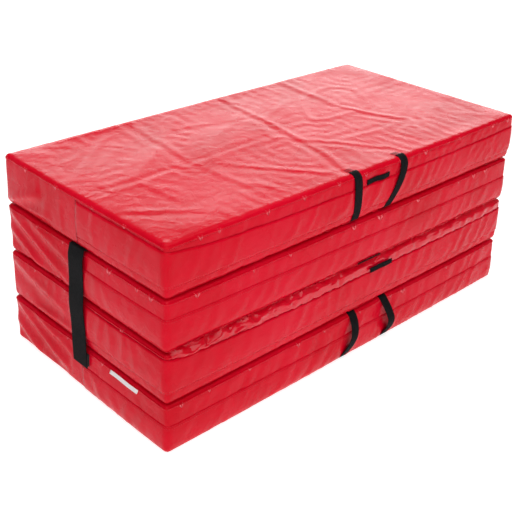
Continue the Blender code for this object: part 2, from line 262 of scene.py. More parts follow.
# %% Lamps
LAMPS = {
    "overhead_panel": dict(place=(-0.4, -0.4, 3.0), target=(0, 0, 0), width=3.6, height=3.6, brightness=2.0),
    "far_panel": dict(place=(2.9, 2.9, 1.45), target=(0, 0, 0.5), width=4.8, height=2.1, brightness=3.4),
    "near_panel": dict(place=(-2.3, -3.7, 2.2), target=(0, 0, 0.2), width=2.6, height=1.8, brightness=3.1),
}


def make_lamp(name, place, target, width, height, brightness):
    """A soft panel lamp. Brightness is that of its surface, so that the power grows with its size."""
    data = bpy.data.lights.new(name, "AREA")
    data.shape = "RECTANGLE"
    data.size = width
    data.size_y = height
    data.energy = brightness * math.pi * width * height
    lamp = add_object(name, data)
    lamp.location = place
    lamp.rotation_euler = (Vector(target) - Vector(place)).to_track_quat("-Z", "Y").to_euler()


for name, facts in LAMPS.items():
    make_lamp(name, **facts)
bpy.context.scene.view_settings.view_transform = "Standard"
print("lamps", len(LAMPS))

# %% [markdown]
# ## Red coated cloth
# The cover is woven cloth with a thick layer of soft vinyl. It is smooth and glossy, with three scales of
# relief: slack waves of a hand's width, short crumples left by folding, and a fine print of the weave
# below. The first is modelled in the mesh further down, and the other two are bumps here. Cloth that has
# been folded keeps straight ridges between flats, so a net of ridges is drawn along the borders of large
# random cells. The borders are bent by a noise first, or they would look ruled.

# %% Red coated cloth
CLOTH_RED = (0.68, 0.001, 0.017)
CLOTH_DEEP = (0.60, 0.001, 0.012)
CLOTH_WORN = (0.72, 0.003, 0.024)
LESS_ROUGH = 0.06
MORE_ROUGH = 0.07
NET_DEPTH = 0.3
CRUMPLE_DEPTH = 1.6
WEAVE_DEPTH = 0.00008


def crease_net(tree, place):
    """Heights of a net of ridges: 1 on a ridge and 0 in the flats."""
    warp = add_texture(tree, "Noise", place, Scale=3.0, Detail=2.0)
    bent = add_node(tree, "MixRGB", Fac=0.12)
    tree.links.new(place, bent.inputs["Color1"])
    tree.links.new(warp.outputs["Color"], bent.inputs["Color2"])
    cells = add_texture(tree, "Voronoi", bent.outputs["Color"], feature="DISTANCE_TO_EDGE", Scale=6.0)
    ridge = add_node(tree, "MapRange", From_Min=0.0, From_Max=0.035, To_Min=1.0, To_Max=0.0)
    ridge.interpolation_type = "SMOOTHERSTEP"
    tree.links.new(cells.outputs["Distance"], ridge.inputs["Value"])
    return ridge.outputs["Result"]


def make_red_cloth(name, crease_depth, roughness, gloss=0.09):
    material, tree, shader = new_material(name)
    place = scaled_place(tree)
    tone = add_texture(tree, "Noise", place, Scale=5.0, Detail=4.0, Roughness=0.6)
    stops = [(0.3, CLOTH_DEEP), (0.5, CLOTH_RED), (0.72, CLOTH_WORN)]
    tree.links.new(colour_ramp(tree, tone.outputs["Fac"], stops), shader.inputs["Base Color"])
    set_values(shader, Specular_IOR_Level=gloss)

    rub = add_texture(tree, "Noise", place, Scale=14.0, Detail=3.0)
    spread = add_node(tree, "MapRange", From_Min=0.3, From_Max=0.7)
    set_values(spread, To_Min=roughness - LESS_ROUGH, To_Max=roughness + MORE_ROUGH)
    tree.links.new(rub.outputs["Fac"], spread.inputs["Value"])
    tree.links.new(spread.outputs["Result"], shader.inputs["Roughness"])

    stack_bump(tree, shader, crease_net(tree, place), NET_DEPTH * crease_depth, 0.3)
    low_place = scaled_place(tree, (1, 1, 1.6))
    crumple = add_texture(tree, "Noise", low_place, Scale=32.0, Detail=5.0, Roughness=0.55, Distortion=0.6)
    stack_bump(tree, shader, crumple.outputs["Fac"], CRUMPLE_DEPTH * crease_depth, 0.6)
    weave = add_texture(tree, "Noise", place, Scale=900.0, Detail=2.0)
    stack_bump(tree, shader, weave.outputs["Fac"], WEAVE_DEPTH, 0.5)
    return material


red_cloth = make_red_cloth("red_coated_cloth", 0.0017, 0.27)
red_flap_cloth = make_red_cloth("red_flap_cloth", 0.0015, 0.26)
red_fold_cloth = make_red_cloth("red_fold_cloth", 0.0006, 0.13, 0.36)
print("red cloths", [cloth.name for cloth in (red_cloth, red_flap_cloth, red_fold_cloth)])

# %% [markdown]
# ## Webbing
# Webbing is woven in narrow ribs that run along it, so its bump is a fine wave across the width and a
# coarser, shallower one along it. The black is uneven: a soft noise mixes it with a slightly greyer tone,
# as fluff on the threads does.

# %% Webbing
WEBBING_BLACK = (0.005, 0.005, 0.006)
WEBBING_GREY = (0.011, 0.011, 0.012)


def make_webbing(name, across, along):
    """across and along name the axes of the strip, such as X and Z."""
    material, tree, shader = new_material(name)
    place = scaled_place(tree)
    ribs = add_texture(tree, "Wave", place, bands_direction=across, Scale=330.0, Distortion=0.4)
    picks = add_texture(tree, "Wave", place, bands_direction=along, Scale=230.0, Distortion=0.8)
    fuzz = add_texture(tree, "Noise", place, Scale=160.0, Detail=4.0)
    colour = colour_ramp(tree, fuzz.outputs["Fac"], [(0.35, WEBBING_BLACK), (0.75, WEBBING_GREY)])
    tree.links.new(colour, shader.inputs["Base Color"])
    set_values(shader, Roughness=0.8, Specular_IOR_Level=0.09)
    stack_bump(tree, shader, fuzz.outputs["Fac"], 0.0002)
    stack_bump(tree, shader, picks.outputs["Fac"], 0.00022, 0.6)
    stack_bump(tree, shader, ribs.outputs["Fac"], 0.00035, 0.8)
    return material


handle_webbing = make_webbing("handle_webbing", "X", "Z")
strap_webbing = make_webbing("strap_webbing", "Y", "Z")
tab_webbing = make_webbing("tab_webbing", "Z", "X")
print("webbings", [webbing.name for webbing in (handle_webbing, strap_webbing, tab_webbing)])

# %% [markdown]
# ## Small finishes
# Thread, zip tape, slider, pads, foam and label are small in any view. One recipe serves them all: a
# noise mixes a dark and a light tone and raises the light parts. The cloth of the tucks is a paler pink,
# which is painted highlight: it stands for the glints on their small pleats.

# %% Small finishes


def make_speckled(name, dark, light, scale, roughness, depth):
    """A finish whose colour and height both follow one noise."""
    material, tree, shader = new_material(name)
    speckle = add_texture(tree, "Noise", scaled_place(tree), Scale=scale, Detail=4.0, Roughness=0.65)
    colour = colour_ramp(tree, speckle.outputs["Fac"], [(0.3, dark), (0.7, light)])
    tree.links.new(colour, shader.inputs["Base Color"])
    set_values(shader, Roughness=roughness)
    stack_bump(tree, shader, speckle.outputs["Fac"], depth)
    return material


red_thread = make_speckled("red_thread", (0.50, 0.02, 0.035), (0.80, 0.10, 0.12), 900, 0.5, 0.0001)
# Darkened copy of the red thread: painted shade for the thin shadow where each flap ends.
shade_painted_thread = make_speckled("red_thread_painted_shade", (0.10, 0.002, 0.006), (0.20, 0.004, 0.012), 900, 0.6, 0.0001)
black_thread = make_speckled("black_thread", (0.010, 0.010, 0.010), (0.05, 0.05, 0.055), 900, 0.6, 0.0001)
zip_tape = make_speckled("zip_tape", (0.012, 0.012, 0.013), (0.035, 0.035, 0.04), 500, 0.6, 0.0003)
slider_metal = make_speckled("slider_metal", (0.03, 0.03, 0.032), (0.07, 0.07, 0.075), 120, 0.35, 0.0001)
pad_pile = make_speckled("pad_pile", (0.006, 0.006, 0.006), (0.04, 0.04, 0.042), 1100, 0.9, 0.0009)
foam_skin = make_speckled("foam_skin", (0.70, 0.64, 0.50), (0.86, 0.80, 0.66), 700, 0.95, 0.0010)
# Paler pink for the tucks: painted highlight that stands for the glints on their pleats.
glint_tuck_cloth = make_speckled("painted_glint_cloth", (0.68, 0.004, 0.02), (0.90, 0.20, 0.23), 190, 0.12, 0.0002)
label_tape = make_speckled("label_tape", (0.86, 0.84, 0.84), (0.95, 0.93, 0.93), 1200, 0.6, 0.0001)
print("materials so far", len(bpy.data.materials))

# %% [markdown]
# ## The shape of a filled cover
# Each cover starts as the skin of a box, cut into small cells. Two roundings turn it into a sewn cover:
# the upright corners become arcs, and the rims roll over, tightly at the corners and more softly in the
# middle of a side, where the top cloth is pulled over the foam. The same maths gives each point its
# outward direction, which every seam, flap and stitch uses later to sit on the cloth.

# %% Rounding a box into a cover
RIM_SHAPE = 6
NO_LENGTH = 1e-12
ON_FACE = 1e-9


def stacked(*columns):
    """Points from their columns, such as x, y and z. A plain number fills its column."""
    return np.stack(np.broadcast_arrays(*columns), 1)


def rim_radius(panel, x, y):
    """Radius of the top rim at a place on the outline."""
    middle_x = np.clip(1 - (2 * x / PANEL_LENGTH) ** RIM_SHAPE, 0, 1)
    middle_y = np.clip(1 - (2 * y / PANEL_WIDTH) ** RIM_SHAPE, 0, 1)
    share = np.clip(middle_x + middle_y - 1, 0, 1)
    return RIM_AT_CORNER + (RIM_AT_MIDDLE[panel] - RIM_AT_CORNER) * share


def round_off(panel, points):
    """Moves points on the box's skin to the rounded cover, and returns them with their outward directions."""
    x, y, z = points.T
    core_x = np.clip(x, -PANEL_LENGTH / 2 + CORNER_RADIUS, PANEL_LENGTH / 2 - CORNER_RADIUS)
    core_y = np.clip(y, -PANEL_WIDTH / 2 + CORNER_RADIUS, PANEL_WIDTH / 2 - CORNER_RADIUS)
    dx, dy = x - core_x, y - core_y
    reach = np.maximum(abs(dx), abs(dy))
    length = np.maximum(np.hypot(dx, dy), NO_LENGTH)
    out_x, out_y = dx / length, dy / length
    x, y = core_x + out_x * reach, core_y + out_y * reach
    edge = CORNER_RADIUS - reach
    low = z < PANEL_THICKNESS / 2
    height = np.where(low, z, PANEL_THICKNESS - z)
    radius = np.where(low, LOW_RIM, rim_radius(panel, x, y))
    past_side, past_face = np.clip(radius - edge, 0, None), np.clip(radius - height, 0, None)
    size = np.maximum(np.hypot(past_side, past_face), NO_LENGTH)
    face_share, side_share = past_face / size, past_side / size
    on_rim = (past_side > 0) & (past_face > 0)
    x = np.where(on_rim, x + out_x * (radius * side_share - past_side), x)
    y = np.where(on_rim, y + out_y * (radius * side_share - past_side), y)
    height = np.where(on_rim, radius - radius * face_share, height)
    z = np.where(low, height, PANEL_THICKNESS - height)
    flat = (height < ON_FACE) & ~on_rim
    up = np.where(on_rim, face_share, np.where(flat, 1.0, 0.0)) * np.where(low, -1, 1)
    side = np.where(on_rim, side_share, np.where(flat, 0.0, 1.0))
    return stacked(x, y, z), stacked(out_x * side, out_y * side, up)


rims = [round(1000 * RIM_AT_MIDDLE[panel]) for panel in PANELS]
print("rims roll over", rims, "mm in the middle of a side")

# %% [markdown]
# ## Where the cloth creases
# The relief has three sources. Long soft creases are drawn as ridges between two points, because
# the eye knows them one by one. Slack waves and leaning ripples come from noise that is stretched along
# the side. Puckers sit only beside the seams, where the thread gathers the cloth, and die away within
# centimetres. These are the two tools for it: a noise, and a ridge with a shallow trough beside it, as a
# real fold has.

# %% Noise and ridges
SEED_STEP = 7.31
TROUGH_DEPTH = 0.60
TROUGH_PLACE = 1.5
TROUGH_WIDTH = 1.6


def noise_at(points, grain, seed):
    """Smooth noise from -1 to 1 at each point. Grain is how often it changes in a metre along each axis."""
    places = points * np.array(grain) + seed * SEED_STEP
    return np.array([noise.noise(place) for place in places.tolist()])


def noise_on(u, v, grain, seed):
    """Smooth noise on a surface with the two directions u and v."""
    return noise_at(stacked(u, v, 0), (*grain, 1), seed)


def ridge_at(u, v, start, end, height, width):
    """A crease from start to end in the (u, v) plane: a soft ridge that tapers at both ends."""
    start, end = np.array(start), np.array(end)
    run = end - start
    length = np.hypot(*run)
    along = ((u - start[0]) * run[0] + (v - start[1]) * run[1]) / length**2
    aside = ((u - start[0]) * run[1] - (v - start[1]) * run[0]) / length
    taper = np.clip(1 - (2 * along - 1) ** 4, 0, 1) * (along > 0) * (along < 1)
    trough = np.exp(-((aside - TROUGH_PLACE * width) / (TROUGH_WIDTH * width)) ** 2)
    return height * taper * (np.exp(-np.abs(aside) / width) - TROUGH_DEPTH * trough)


print("noise at one place", noise_on(np.array([0.1]), np.array([0.2]), (5, 5), 1).round(3))

# %% [markdown]
# ## Creases drawn one by one
# Each crease is a start, an end, a height and a width, all in metres. On the top, start and end are
# places on the face. On the left end they are the distance round the panel from the middle of its front,
# which is negative to the left, and the height on the side.

# %% Creases drawn one by one
TOP_CREASES = [
    ((0.061, 0.282), (0.003, -0.110), 0.0026, 0.009), ((0.003, -0.110), (-0.053, -0.302), 0.0022, 0.008),
    ((0.296, 0.319), (0.275, 0.041), 0.0025, 0.018), ((0.275, 0.041), (0.336, -0.137), 0.0017, 0.014),
    ((0.048, 0.300), (0.082, 0.190), 0.0014, 0.008), ((-0.315, 0.275), (-0.566, 0.070), 0.0015, 0.007),
    ((-0.249, 0.298), (-0.292, -0.023), 0.0015, 0.008), ((-0.292, -0.023), (-0.280, -0.211), 0.0011, 0.007),
    ((-0.067, -0.014), (-0.334, -0.026), 0.0015, 0.007), ((-0.334, -0.026), (-0.556, -0.035), 0.0012, 0.007),
    ((-0.488, 0.288), (-0.242, 0.283), 0.0012, 0.010), ((-0.596, -0.113), (-0.422, -0.242), 0.0015, 0.010),
    ((-0.261, -0.035), (-0.079, -0.281), 0.0015, 0.008), ((0.326, -0.146), (0.070, -0.134), 0.0011, 0.010),
    ((-0.538, 0.285), (-0.449, 0.241), 0.0011, 0.007), ((-0.566, 0.070), (-0.537, 0.210), 0.0010, 0.007),
    ((-0.453, -0.023), (-0.447, -0.179), 0.0012, 0.011), ((-0.009, -0.044), (0.169, -0.268), 0.0012, 0.010),
    ((0.581, -0.015), (0.549, -0.245), 0.0010, 0.008), ((-0.240, 0.189), (0.052, 0.122), 0.0011, 0.010),
]
END_CREASES = {
    4: [((-1.20, 0.006), (-1.04, 0.072), 0.0090, 0.016), ((-1.17, 0.004), (-1.00, 0.028), 0.0060, 0.012)],
    3: [((-1.20, 0.112), (-0.95, 0.020), 0.0090, 0.017), ((-1.12, 0.118), (-0.93, 0.070), 0.0060, 0.014),
        ((-1.20, 0.062), (-1.06, 0.004), 0.0070, 0.014)],
    2: [((-1.20, 0.104), (-0.97, 0.056), 0.0060, 0.018), ((-0.93, 0.024), (-1.12, 0.012), 0.0045, 0.012)],
    1: [((-1.20, 0.116), (-0.96, 0.026), 0.0085, 0.018), ((-1.12, 0.118), (-0.94, 0.080), 0.0060, 0.014),
        ((-1.20, 0.058), (-1.09, 0.006), 0.0060, 0.015)],
}
print("creases", len(TOP_CREASES), "on the top,", sum(map(len, END_CREASES.values())), "on the left end")

# %% [markdown]
# ## Relief of the sides
# A side gets broad waves, then upright ripples that lean a little and come in patches, then puckers along
# both rims, then its drawn creases. Its ripples are half as high on the left end. Behind a closing strap
# the cloth may only sink, because the strap presses on it.

# %% Relief of the sides
STRAP_WIDTH = 0.055
SIDE_WAVE = 0.0016
SIDE_WAVE_GRAIN = (5, 11)
RIPPLE = 0.0017
RIPPLE_GRAIN = (42, 9)
RIPPLE_LEAN = 0.5
RIPPLE_ON_LEFT_END = 0.5
RIPPLE_PATCH_GRAIN = (3, 3)
RIPPLE_PATCH_CONTRAST = 1.6
RIPPLE_PATCH_RANGE = (0.1, 1.3)
PUCKER = 0.0016
PUCKER_REACH = 0.016
SIDE_PUCKER_GRAIN = (75, 20)
END_CREASE_HEIGHT = 1.35
END_CREASE_WIDTH = 0.85
END_SHARE = 0.9


def along_side(x, y):
    """Distance round the panel from the middle of its front, negative to the left."""
    return x + np.sign(x) * (y + PANEL_WIDTH / 2)


def on_an_end(x):
    return abs(x) > END_SHARE * PANEL_LENGTH / 2


def side_relief(panel, points):
    x, y, z = points.T
    s = along_side(x, y)
    relief = SIDE_WAVE * noise_on(s, z, SIDE_WAVE_GRAIN, panel)
    ripple = RIPPLE * np.where(s < -PANEL_LENGTH / 2, RIPPLE_ON_LEFT_END, 1)
    patches = 0.5 + RIPPLE_PATCH_CONTRAST * noise_on(s, z, RIPPLE_PATCH_GRAIN, panel + 20)
    ripples = ripple * noise_on(s - RIPPLE_LEAN * z, z, RIPPLE_GRAIN, panel + 10)
    relief += ripples * np.clip(patches, *RIPPLE_PATCH_RANGE)
    rim_gap = np.minimum(z, PANEL_THICKNESS - z)
    relief += PUCKER * np.exp(-rim_gap / PUCKER_REACH) * noise_on(s, z, SIDE_PUCKER_GRAIN, panel + 30)
    for start, end, height, width in END_CREASES[panel]:
        relief += ridge_at(s, z, start, end, END_CREASE_HEIGHT * height, END_CREASE_WIDTH * width)
    under_strap = on_an_end(x) & (abs(y) < STRAP_WIDTH)
    return np.where(under_strap, np.minimum(relief, 0), relief)


print("ripples", round(1000 / RIPPLE_GRAIN[0]), "mm apart, up to", round(1000 * RIPPLE, 1), "mm high")

# %% [markdown]
# ## Relief of the large faces
# Only the top of the mat is in full view. It gets wide waves that run slantwise, a net of fine creases
# and the drawn ones, whose lines are bent a little by noise so that they don't look ruled. The faces
# between stacked panels only sink, so that the panels stay clear of each other, and the base of the mat
# stays flat.

# %% Relief of the large faces
SLANT = (0.85, 0.5)
FACE_WAVE = 0.0042
WAVE_GRAIN = (2.6, 6.5)
SMALL_WAVE = 0.22
SMALL_WAVE_GRAIN = (6, 12)
WAVES_FROM_EDGE = 0.05
LEAST_WAVE = 0.2
FACE_PUCKER_REACH = 1.6 * PUCKER_REACH
FACE_PUCKER_GRAIN = (60, 14)
FINE_CREASE = 0.0010
FINE_CREASE_GRAIN = (3.1, 7.5)
FINE_CREASE_SHARPNESS = 9
FINE_CREASES_FROM_EDGE = 0.08
GRIT = 0.3
GRIT_GRAIN = (9, 18)
LINE_BEND = 0.007
LINE_BEND_GRAIN = (9, 9)
CREASE_HEIGHT = 0.65
HIDDEN_SINK = 0.0012
HIDDEN_WAVE_SHARE = 0.5
HIDDEN_SINK_SHARE = 0.7
HIDDEN_FROM_EDGE = 0.04


def face_relief(panel, points, is_top):
    x, y = points[:, 0], points[:, 1]
    edge = np.minimum(PANEL_LENGTH / 2 - abs(x), PANEL_WIDTH / 2 - abs(y))
    u = SLANT[0] * x + SLANT[1] * y
    v = SLANT[0] * y - SLANT[1] * x
    along = np.where(PANEL_LENGTH / 2 - abs(x) < PANEL_WIDTH / 2 - abs(y), y, x)
    gathers = noise_on(along, edge, FACE_PUCKER_GRAIN, panel + 50 + is_top)
    pucker = PUCKER * np.exp(-edge / FACE_PUCKER_REACH) * gathers
    wave = noise_on(u, v, WAVE_GRAIN, panel + 40 + is_top)
    wave = wave + SMALL_WAVE * noise_on(u, v, SMALL_WAVE_GRAIN, panel + 60 + is_top)
    if panel == 4 and is_top:
        relief = FACE_WAVE * wave * np.clip(edge / WAVES_FROM_EDGE, LEAST_WAVE, 1) + pucker
        fine = (1 - abs(noise_on(u, v, FINE_CREASE_GRAIN, 81))) ** FINE_CREASE_SHARPNESS
        fine = fine + GRIT * noise_on(u, v, GRIT_GRAIN, 82)
        relief += FINE_CREASE * fine * np.clip(edge / FINE_CREASES_FROM_EDGE, 0, 1)
        bent_x = x + LINE_BEND * noise_on(u, v, LINE_BEND_GRAIN, 71)
        bent_y = y + LINE_BEND * noise_on(u, v, LINE_BEND_GRAIN, 72)
        for start, end, height, width in TOP_CREASES:
            relief += ridge_at(bent_x, bent_y, start, end, CREASE_HEIGHT * height, width)
        return relief
    if panel == 1 and not is_top:
        return np.zeros_like(x)
    sink = (HIDDEN_WAVE_SHARE * wave - HIDDEN_SINK_SHARE) * HIDDEN_SINK
    return sink * np.clip(edge / HIDDEN_FROM_EDGE, 0, 1) + np.minimum(pucker, 0)


def relief_at(panel, points, normals):
    """Mixes the relief of side, top and bottom by which way the cloth faces."""
    side = np.hypot(normals[:, 0], normals[:, 1]) ** 2
    top = np.clip(normals[:, 2], 0, 1) ** 2
    bottom = np.clip(-normals[:, 2], 0, 1) ** 2
    return (
        side * side_relief(panel, points)
        + top * face_relief(panel, points, True)
        + bottom * face_relief(panel, points, False)
    )


print("waves of the top up to", round(1000 * FACE_WAVE, 1), "mm")

# %% [markdown]
# ## Crown and belly
# Foam pushes the middle of each face and each side of a cover out, and the seams hold it in. A side that
# bellies leans back above its middle and forward below, so it mirrors the dim room above and the pale
# floor below. One formula moves every point, so cloth, flaps and stitches stay together, and stacked
# faces keep a hair's gap.

# %% Placing cloth on a panel
BELLY_SHAPE = 0.4


def belly(dome, height):
    """How far out a side is pushed, as a share, at a share of its height."""
    return dome**BELLY_SHAPE * np.sqrt(4 * height * (1 - height))


def swell(points, panel):
    """Pushes points of the straight form out by the crown of the faces and the belly of the sides."""
    x, y, z = points.T
    dome_x = np.clip(1 - (2 * x / PANEL_LENGTH) ** 2, 0, None)
    dome_y = np.clip(1 - (2 * y / PANEL_WIDTH) ** 2, 0, None)
    height = np.clip(z / PANEL_THICKNESS, 0, 1)
    lift = height if panel == 1 else 2 * height - 1
    new_x = x + np.sign(x) * END_BELLY * belly(dome_y, height) * np.clip(2 * abs(x) / PANEL_LENGTH, 0, 1)
    new_y = y + np.sign(y) * SIDE_BELLY * belly(dome_x, height) * np.clip(2 * abs(y) / PANEL_WIDTH, 0, 1)
    return stacked(new_x, new_y, z + CROWN * lift * dome_x * dome_y)


def place_on(panel, points, normals, lift):
    """World places of points of the panel's straight form, moved outward by lift."""
    places = swell(points + normals * lift[:, None], panel)
    places[:, 2] += (panel - 1) * PITCH
    return places


print("sides bulge", round(1000 * SIDE_BELLY, 1), "mm, faces", round(1000 * CROWN, 1), "mm")

# %% [markdown]
# ## The skin of a box
# A box's skin is a lattice of points that its six sides share, so a cover made from it is one closed
# mesh. The cells are small near the rims, where the cloth turns, and about a centimetre elsewhere.

# %% The skin of a box
RIM_BAND = 0.024
RIM_CELLS = 4


def spaced(size, cell):
    """Places along one side of the box, close together at the rims."""
    rim = np.linspace(0, RIM_BAND, RIM_CELLS + 1)[:-1]
    middle = np.linspace(RIM_BAND, size - RIM_BAND, round((size - 2 * RIM_BAND) / cell) + 1)
    return np.concatenate([rim, middle, (size - rim)[::-1]])


def box_skin(xs, ys, zs):
    """The lattice points on the six sides of a box, and the four-cornered faces between them."""
    counts = (len(xs), len(ys), len(zs))
    index = {}
    points = []
    faces = []

    def corner(place):
        if place not in index:
            index[place] = len(points)
            points.append((xs[place[0]], ys[place[1]], zs[place[2]]))
        return index[place]

    for axis in range(3):
        first, second = (axis + 1) % 3, (axis + 2) % 3
        for level in (0, counts[axis] - 1):
            for i in range(counts[first] - 1):
                for j in range(counts[second] - 1):
                    loop = []
                    for di, dj in ((0, 0), (1, 0), (1, 1), (0, 1)):
                        place = [0, 0, 0]
                        place[axis], place[first], place[second] = level, i + di, j + dj
                        loop.append(corner(tuple(place)))
                    faces.append(loop if level else loop[::-1])
    return np.array(points), faces


def panel_skin(cell, side_cell):
    """The skin of a panel's box, with its middle over the origin and its base at height 0."""
    xs = spaced(PANEL_LENGTH, cell) - PANEL_LENGTH / 2
    ys = spaced(PANEL_WIDTH, cell) - PANEL_WIDTH / 2
    return box_skin(xs, ys, spaced(PANEL_THICKNESS, side_cell))


print("rim cells", round(1000 * RIM_BAND / RIM_CELLS, 1), "mm wide")

# %% [markdown]
# ## Pieces
# Every piece is a mesh with one material. It rides on a body of the mat, and may stand for one or more
# of the solids, which are then hidden. Only the fold strips, near the end, ride on no body: they cross
# from one panel to the next.

# %% Helpers for pieces


def add_mesh(name, points, faces, material):
    mesh = bpy.data.meshes.new(name)
    mesh.from_pydata([tuple(p) for p in points], [], faces)
    mesh.shade_smooth()
    mesh.materials.append(material)
    return add_object(name, mesh)


def belongs_to(piece, body, slot, *nodes):
    """Lets a piece move with a body and hides the solids that it stands for. The slot is not used."""
    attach(piece, body)
    if nodes:
        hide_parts(*nodes)


# %% [markdown]
# ## Where each flap runs
# A flap hides the zip along the front and round both corners. Its seam and its free edge keep a set
# distance from a rim: the top one on panels 4 and 2, the low one on panels 3 and 1, because the zigzag
# turns every second panel over. Both distances change along the front, as the hem of hand-fed cloth does.

# %% Where each flap runs
FLAP_EDGES = {
    4: (0.014, 0.037, 0.032),
    2: (0.011, 0.027, 0.026),
    3: (0.006, 0.007, 0.006),
    1: (0.004, 0.004, 0.004),
}
FLAP_SEAMS = {4: (0.101, 0.104), 2: (0.097, 0.100), 3: (0.080, 0.068), 1: (0.072, 0.068)}
CORNER_SHARE = 0.10


def zip_side_is_up(panel):
    return panel % 2 == 0


def height_at(panel, drop):
    """Turns a distance from the rim into a height on the side."""
    return PANEL_THICKNESS - drop if zip_side_is_up(panel) else drop


def flap_edge_drop(panel, x):
    """How far the free edge lies from the rim: least at the two front corners, more along the front."""
    left, middle, right = FLAP_EDGES[panel]
    share = np.clip(x / PANEL_LENGTH + 0.5, 0, 1)
    at_left = (left - middle) * np.exp(-share / CORNER_SHARE)
    at_right = (right - middle) * np.exp(-(1 - share) / CORNER_SHARE)
    return middle + at_left + at_right


def flap_seam_drop(panel, x):
    """How far the flap's seam lies from the rim."""
    left, right = FLAP_SEAMS[panel]
    return left + (right - left) * np.clip(x / PANEL_LENGTH + 0.5, 0, 1)


for panel in PANELS:
    drops = [round(1000 * float(f(panel, 0.0))) for f in (flap_edge_drop, flap_seam_drop)]
    print("flap", panel, "edge and seam", drops, "mm from the rim at the middle")

# %% [markdown]
# ## Letting the cloth buckle
# The cover is cut a little larger than its foam, so the spare cloth buckles into small waves between the
# seams that hold it. Blender's Cloth finds those waves: the seams are pinned, the foam is a weak grip on
# every other point, and the cloth grows by about one percent, or more in the folds. Some stretches are
# stiffer and have almost no spare cloth. Without them the waves would spread as evenly as on a washboard.

# %% Running the cloth
SIM_FRAMES = 20
BROAD_SLACK = 0.00002
BROAD_STIFFNESS = 30


def buckle(places, faces, weights, slack, stiffness, broad=None):
    """Runs the cloth and returns its points. Broad, from 0 to 1, marks stiff ones with little spare cloth."""
    cloth = add_mesh("slack_cloth", places, faces, red_cloth)
    broad = np.zeros(len(places)) if broad is None else broad
    for name, values in (("grip", weights), ("broad", broad)):
        group = cloth.vertex_groups.new(name=name)
        for index, weight in enumerate(values.tolist()):
            group.add([index], weight, "REPLACE")
    modifier = cloth.modifiers.new("Slack", "CLOTH")
    cloth_settings = dict(
        quality=5,
        mass=0.12,
        air_damping=3,
        tension_stiffness=30,
        compression_stiffness=30,
        shear_stiffness=12,
        bending_stiffness=stiffness,
        bending_stiffness_max=BROAD_STIFFNESS,
        vertex_group_bending="broad",
        vertex_group_mass="grip",
        shrink_min=-slack,
        shrink_max=-BROAD_SLACK,
        vertex_group_shrink="broad",
    )
    for setting, value in cloth_settings.items():
        setattr(modifier.settings, setting, value)
    modifier.settings.effector_weights.gravity = 0
    modifier.collision_settings.use_collision = False
    modifier.point_cache.frame_end = SIM_FRAMES
    for frame_number in range(1, SIM_FRAMES + 1):
        bpy.context.scene.frame_set(frame_number)
    shaped = cloth.evaluated_get(bpy.context.evaluated_depsgraph_get()).data
    result = np.empty(3 * len(places))
    shaped.vertices.foreach_get("co", result)
    mesh = cloth.data
    bpy.data.objects.remove(cloth)
    bpy.data.meshes.remove(mesh)
    bpy.context.scene.frame_set(1)
    return result.reshape(-1, 3)


print("cloth runs for", SIM_FRAMES, "frames")

# %% [markdown]
# ## Keeping the cloth near its foam
# Cloth that is pushed only by its own length wanders. So each point keeps its buckled height between a
# lowest and a highest one, and slides sideways by no more than three millimetres. A share of the waves
# can be kept, because a big flat face lies calmer on its foam than a short run shows.

# %% Keeping the cloth near its foam
MOST_SLIDE = 0.003
SMALL_STEP = 0.001


def straight_form(panel, points, normals):
    """Places on the uncreased cover and the world directions that lead straight out of it."""
    base = place_on(panel, points, normals, np.zeros(len(points)))
    way = place_on(panel, points, normals, np.full(len(points), SMALL_STEP)) - base
    return base, way / np.linalg.norm(way, axis=1)[:, None]


def keep_near(panel, points, normals, places, moved, low, high, kept=1.0):
    """Limits how far the buckled cloth has moved from the straight form."""
    base, way = straight_form(panel, points, normals)
    lift = ((moved - base) * way).sum(1)
    slide = moved - base - lift[:, None] * way
    distance = np.maximum(np.linalg.norm(slide, axis=1)[:, None], NO_LENGTH)
    slide *= np.minimum(1, MOST_SLIDE / distance)
    start = ((places - base) * way).sum(1)
    lift = start + kept * (lift - start)
    print("  waves of", round(1000 * (lift - start).std(), 2), "mm")
    return base + slide + np.clip(lift, low, high)[:, None] * way


print("most slide", round(1000 * MOST_SLIDE, 1), "mm")

# %% [markdown]
# ## Which points the seams hold
# Thread holds the cloth at both rims and along the flap's seam, so points there are pinned, and the pin
# weakens within a few millimetres. Blender raises a pin's weight to the fourth power, so the foam's 0.36
# is a weak grip. Calm patches of the sides, most of them near the left front corner, get little spare
# cloth.

# %% Which points the seams hold
SEAM_GRIP_REACH = 0.0035
FOAM_GRIP = 0.36
BROAD_GRIP = 0.50
UPRIGHT = 0.35
LEVEL = 0.98
FAR_AWAY = 1
CALM = 0.62
CALM_FALL = 0.45
CALM_PATCHES = 0.9
CALM_GRAIN = (4.5, 7)
LEFT_CALM = 0.60
LEFT_CALM_PATCHES = 0.6
LEFT_CALM_GRAIN = (6, 8)
MOST_CALM = 0.9


def seam_grip(panel, points, normals):
    """Pin weights: 1 on the seams, and the foam's weak grip elsewhere."""
    height = np.minimum(points[:, 2], PANEL_THICKNESS - points[:, 2])
    low = points[:, 2] < PANEL_THICKNESS / 2
    radius = np.where(low, LOW_RIM, rim_radius(panel, points[:, 0], points[:, 1]))
    from_rim = abs(height - radius)
    drop = PANEL_THICKNESS - points[:, 2] if zip_side_is_up(panel) else points[:, 2]
    from_flap = abs(drop - flap_seam_drop(panel, points[:, 0])) + np.where(points[:, 1] > 0, FAR_AWAY, 0)
    upright = abs(normals[:, 2]) < UPRIGHT
    near = np.where(upright, np.minimum(from_rim, from_flap), FAR_AWAY)
    foam = np.where(normals[:, 2] > LEVEL, BROAD_GRIP, FOAM_GRIP)
    return np.maximum(np.exp(-(near / SEAM_GRIP_REACH) ** 4), foam)


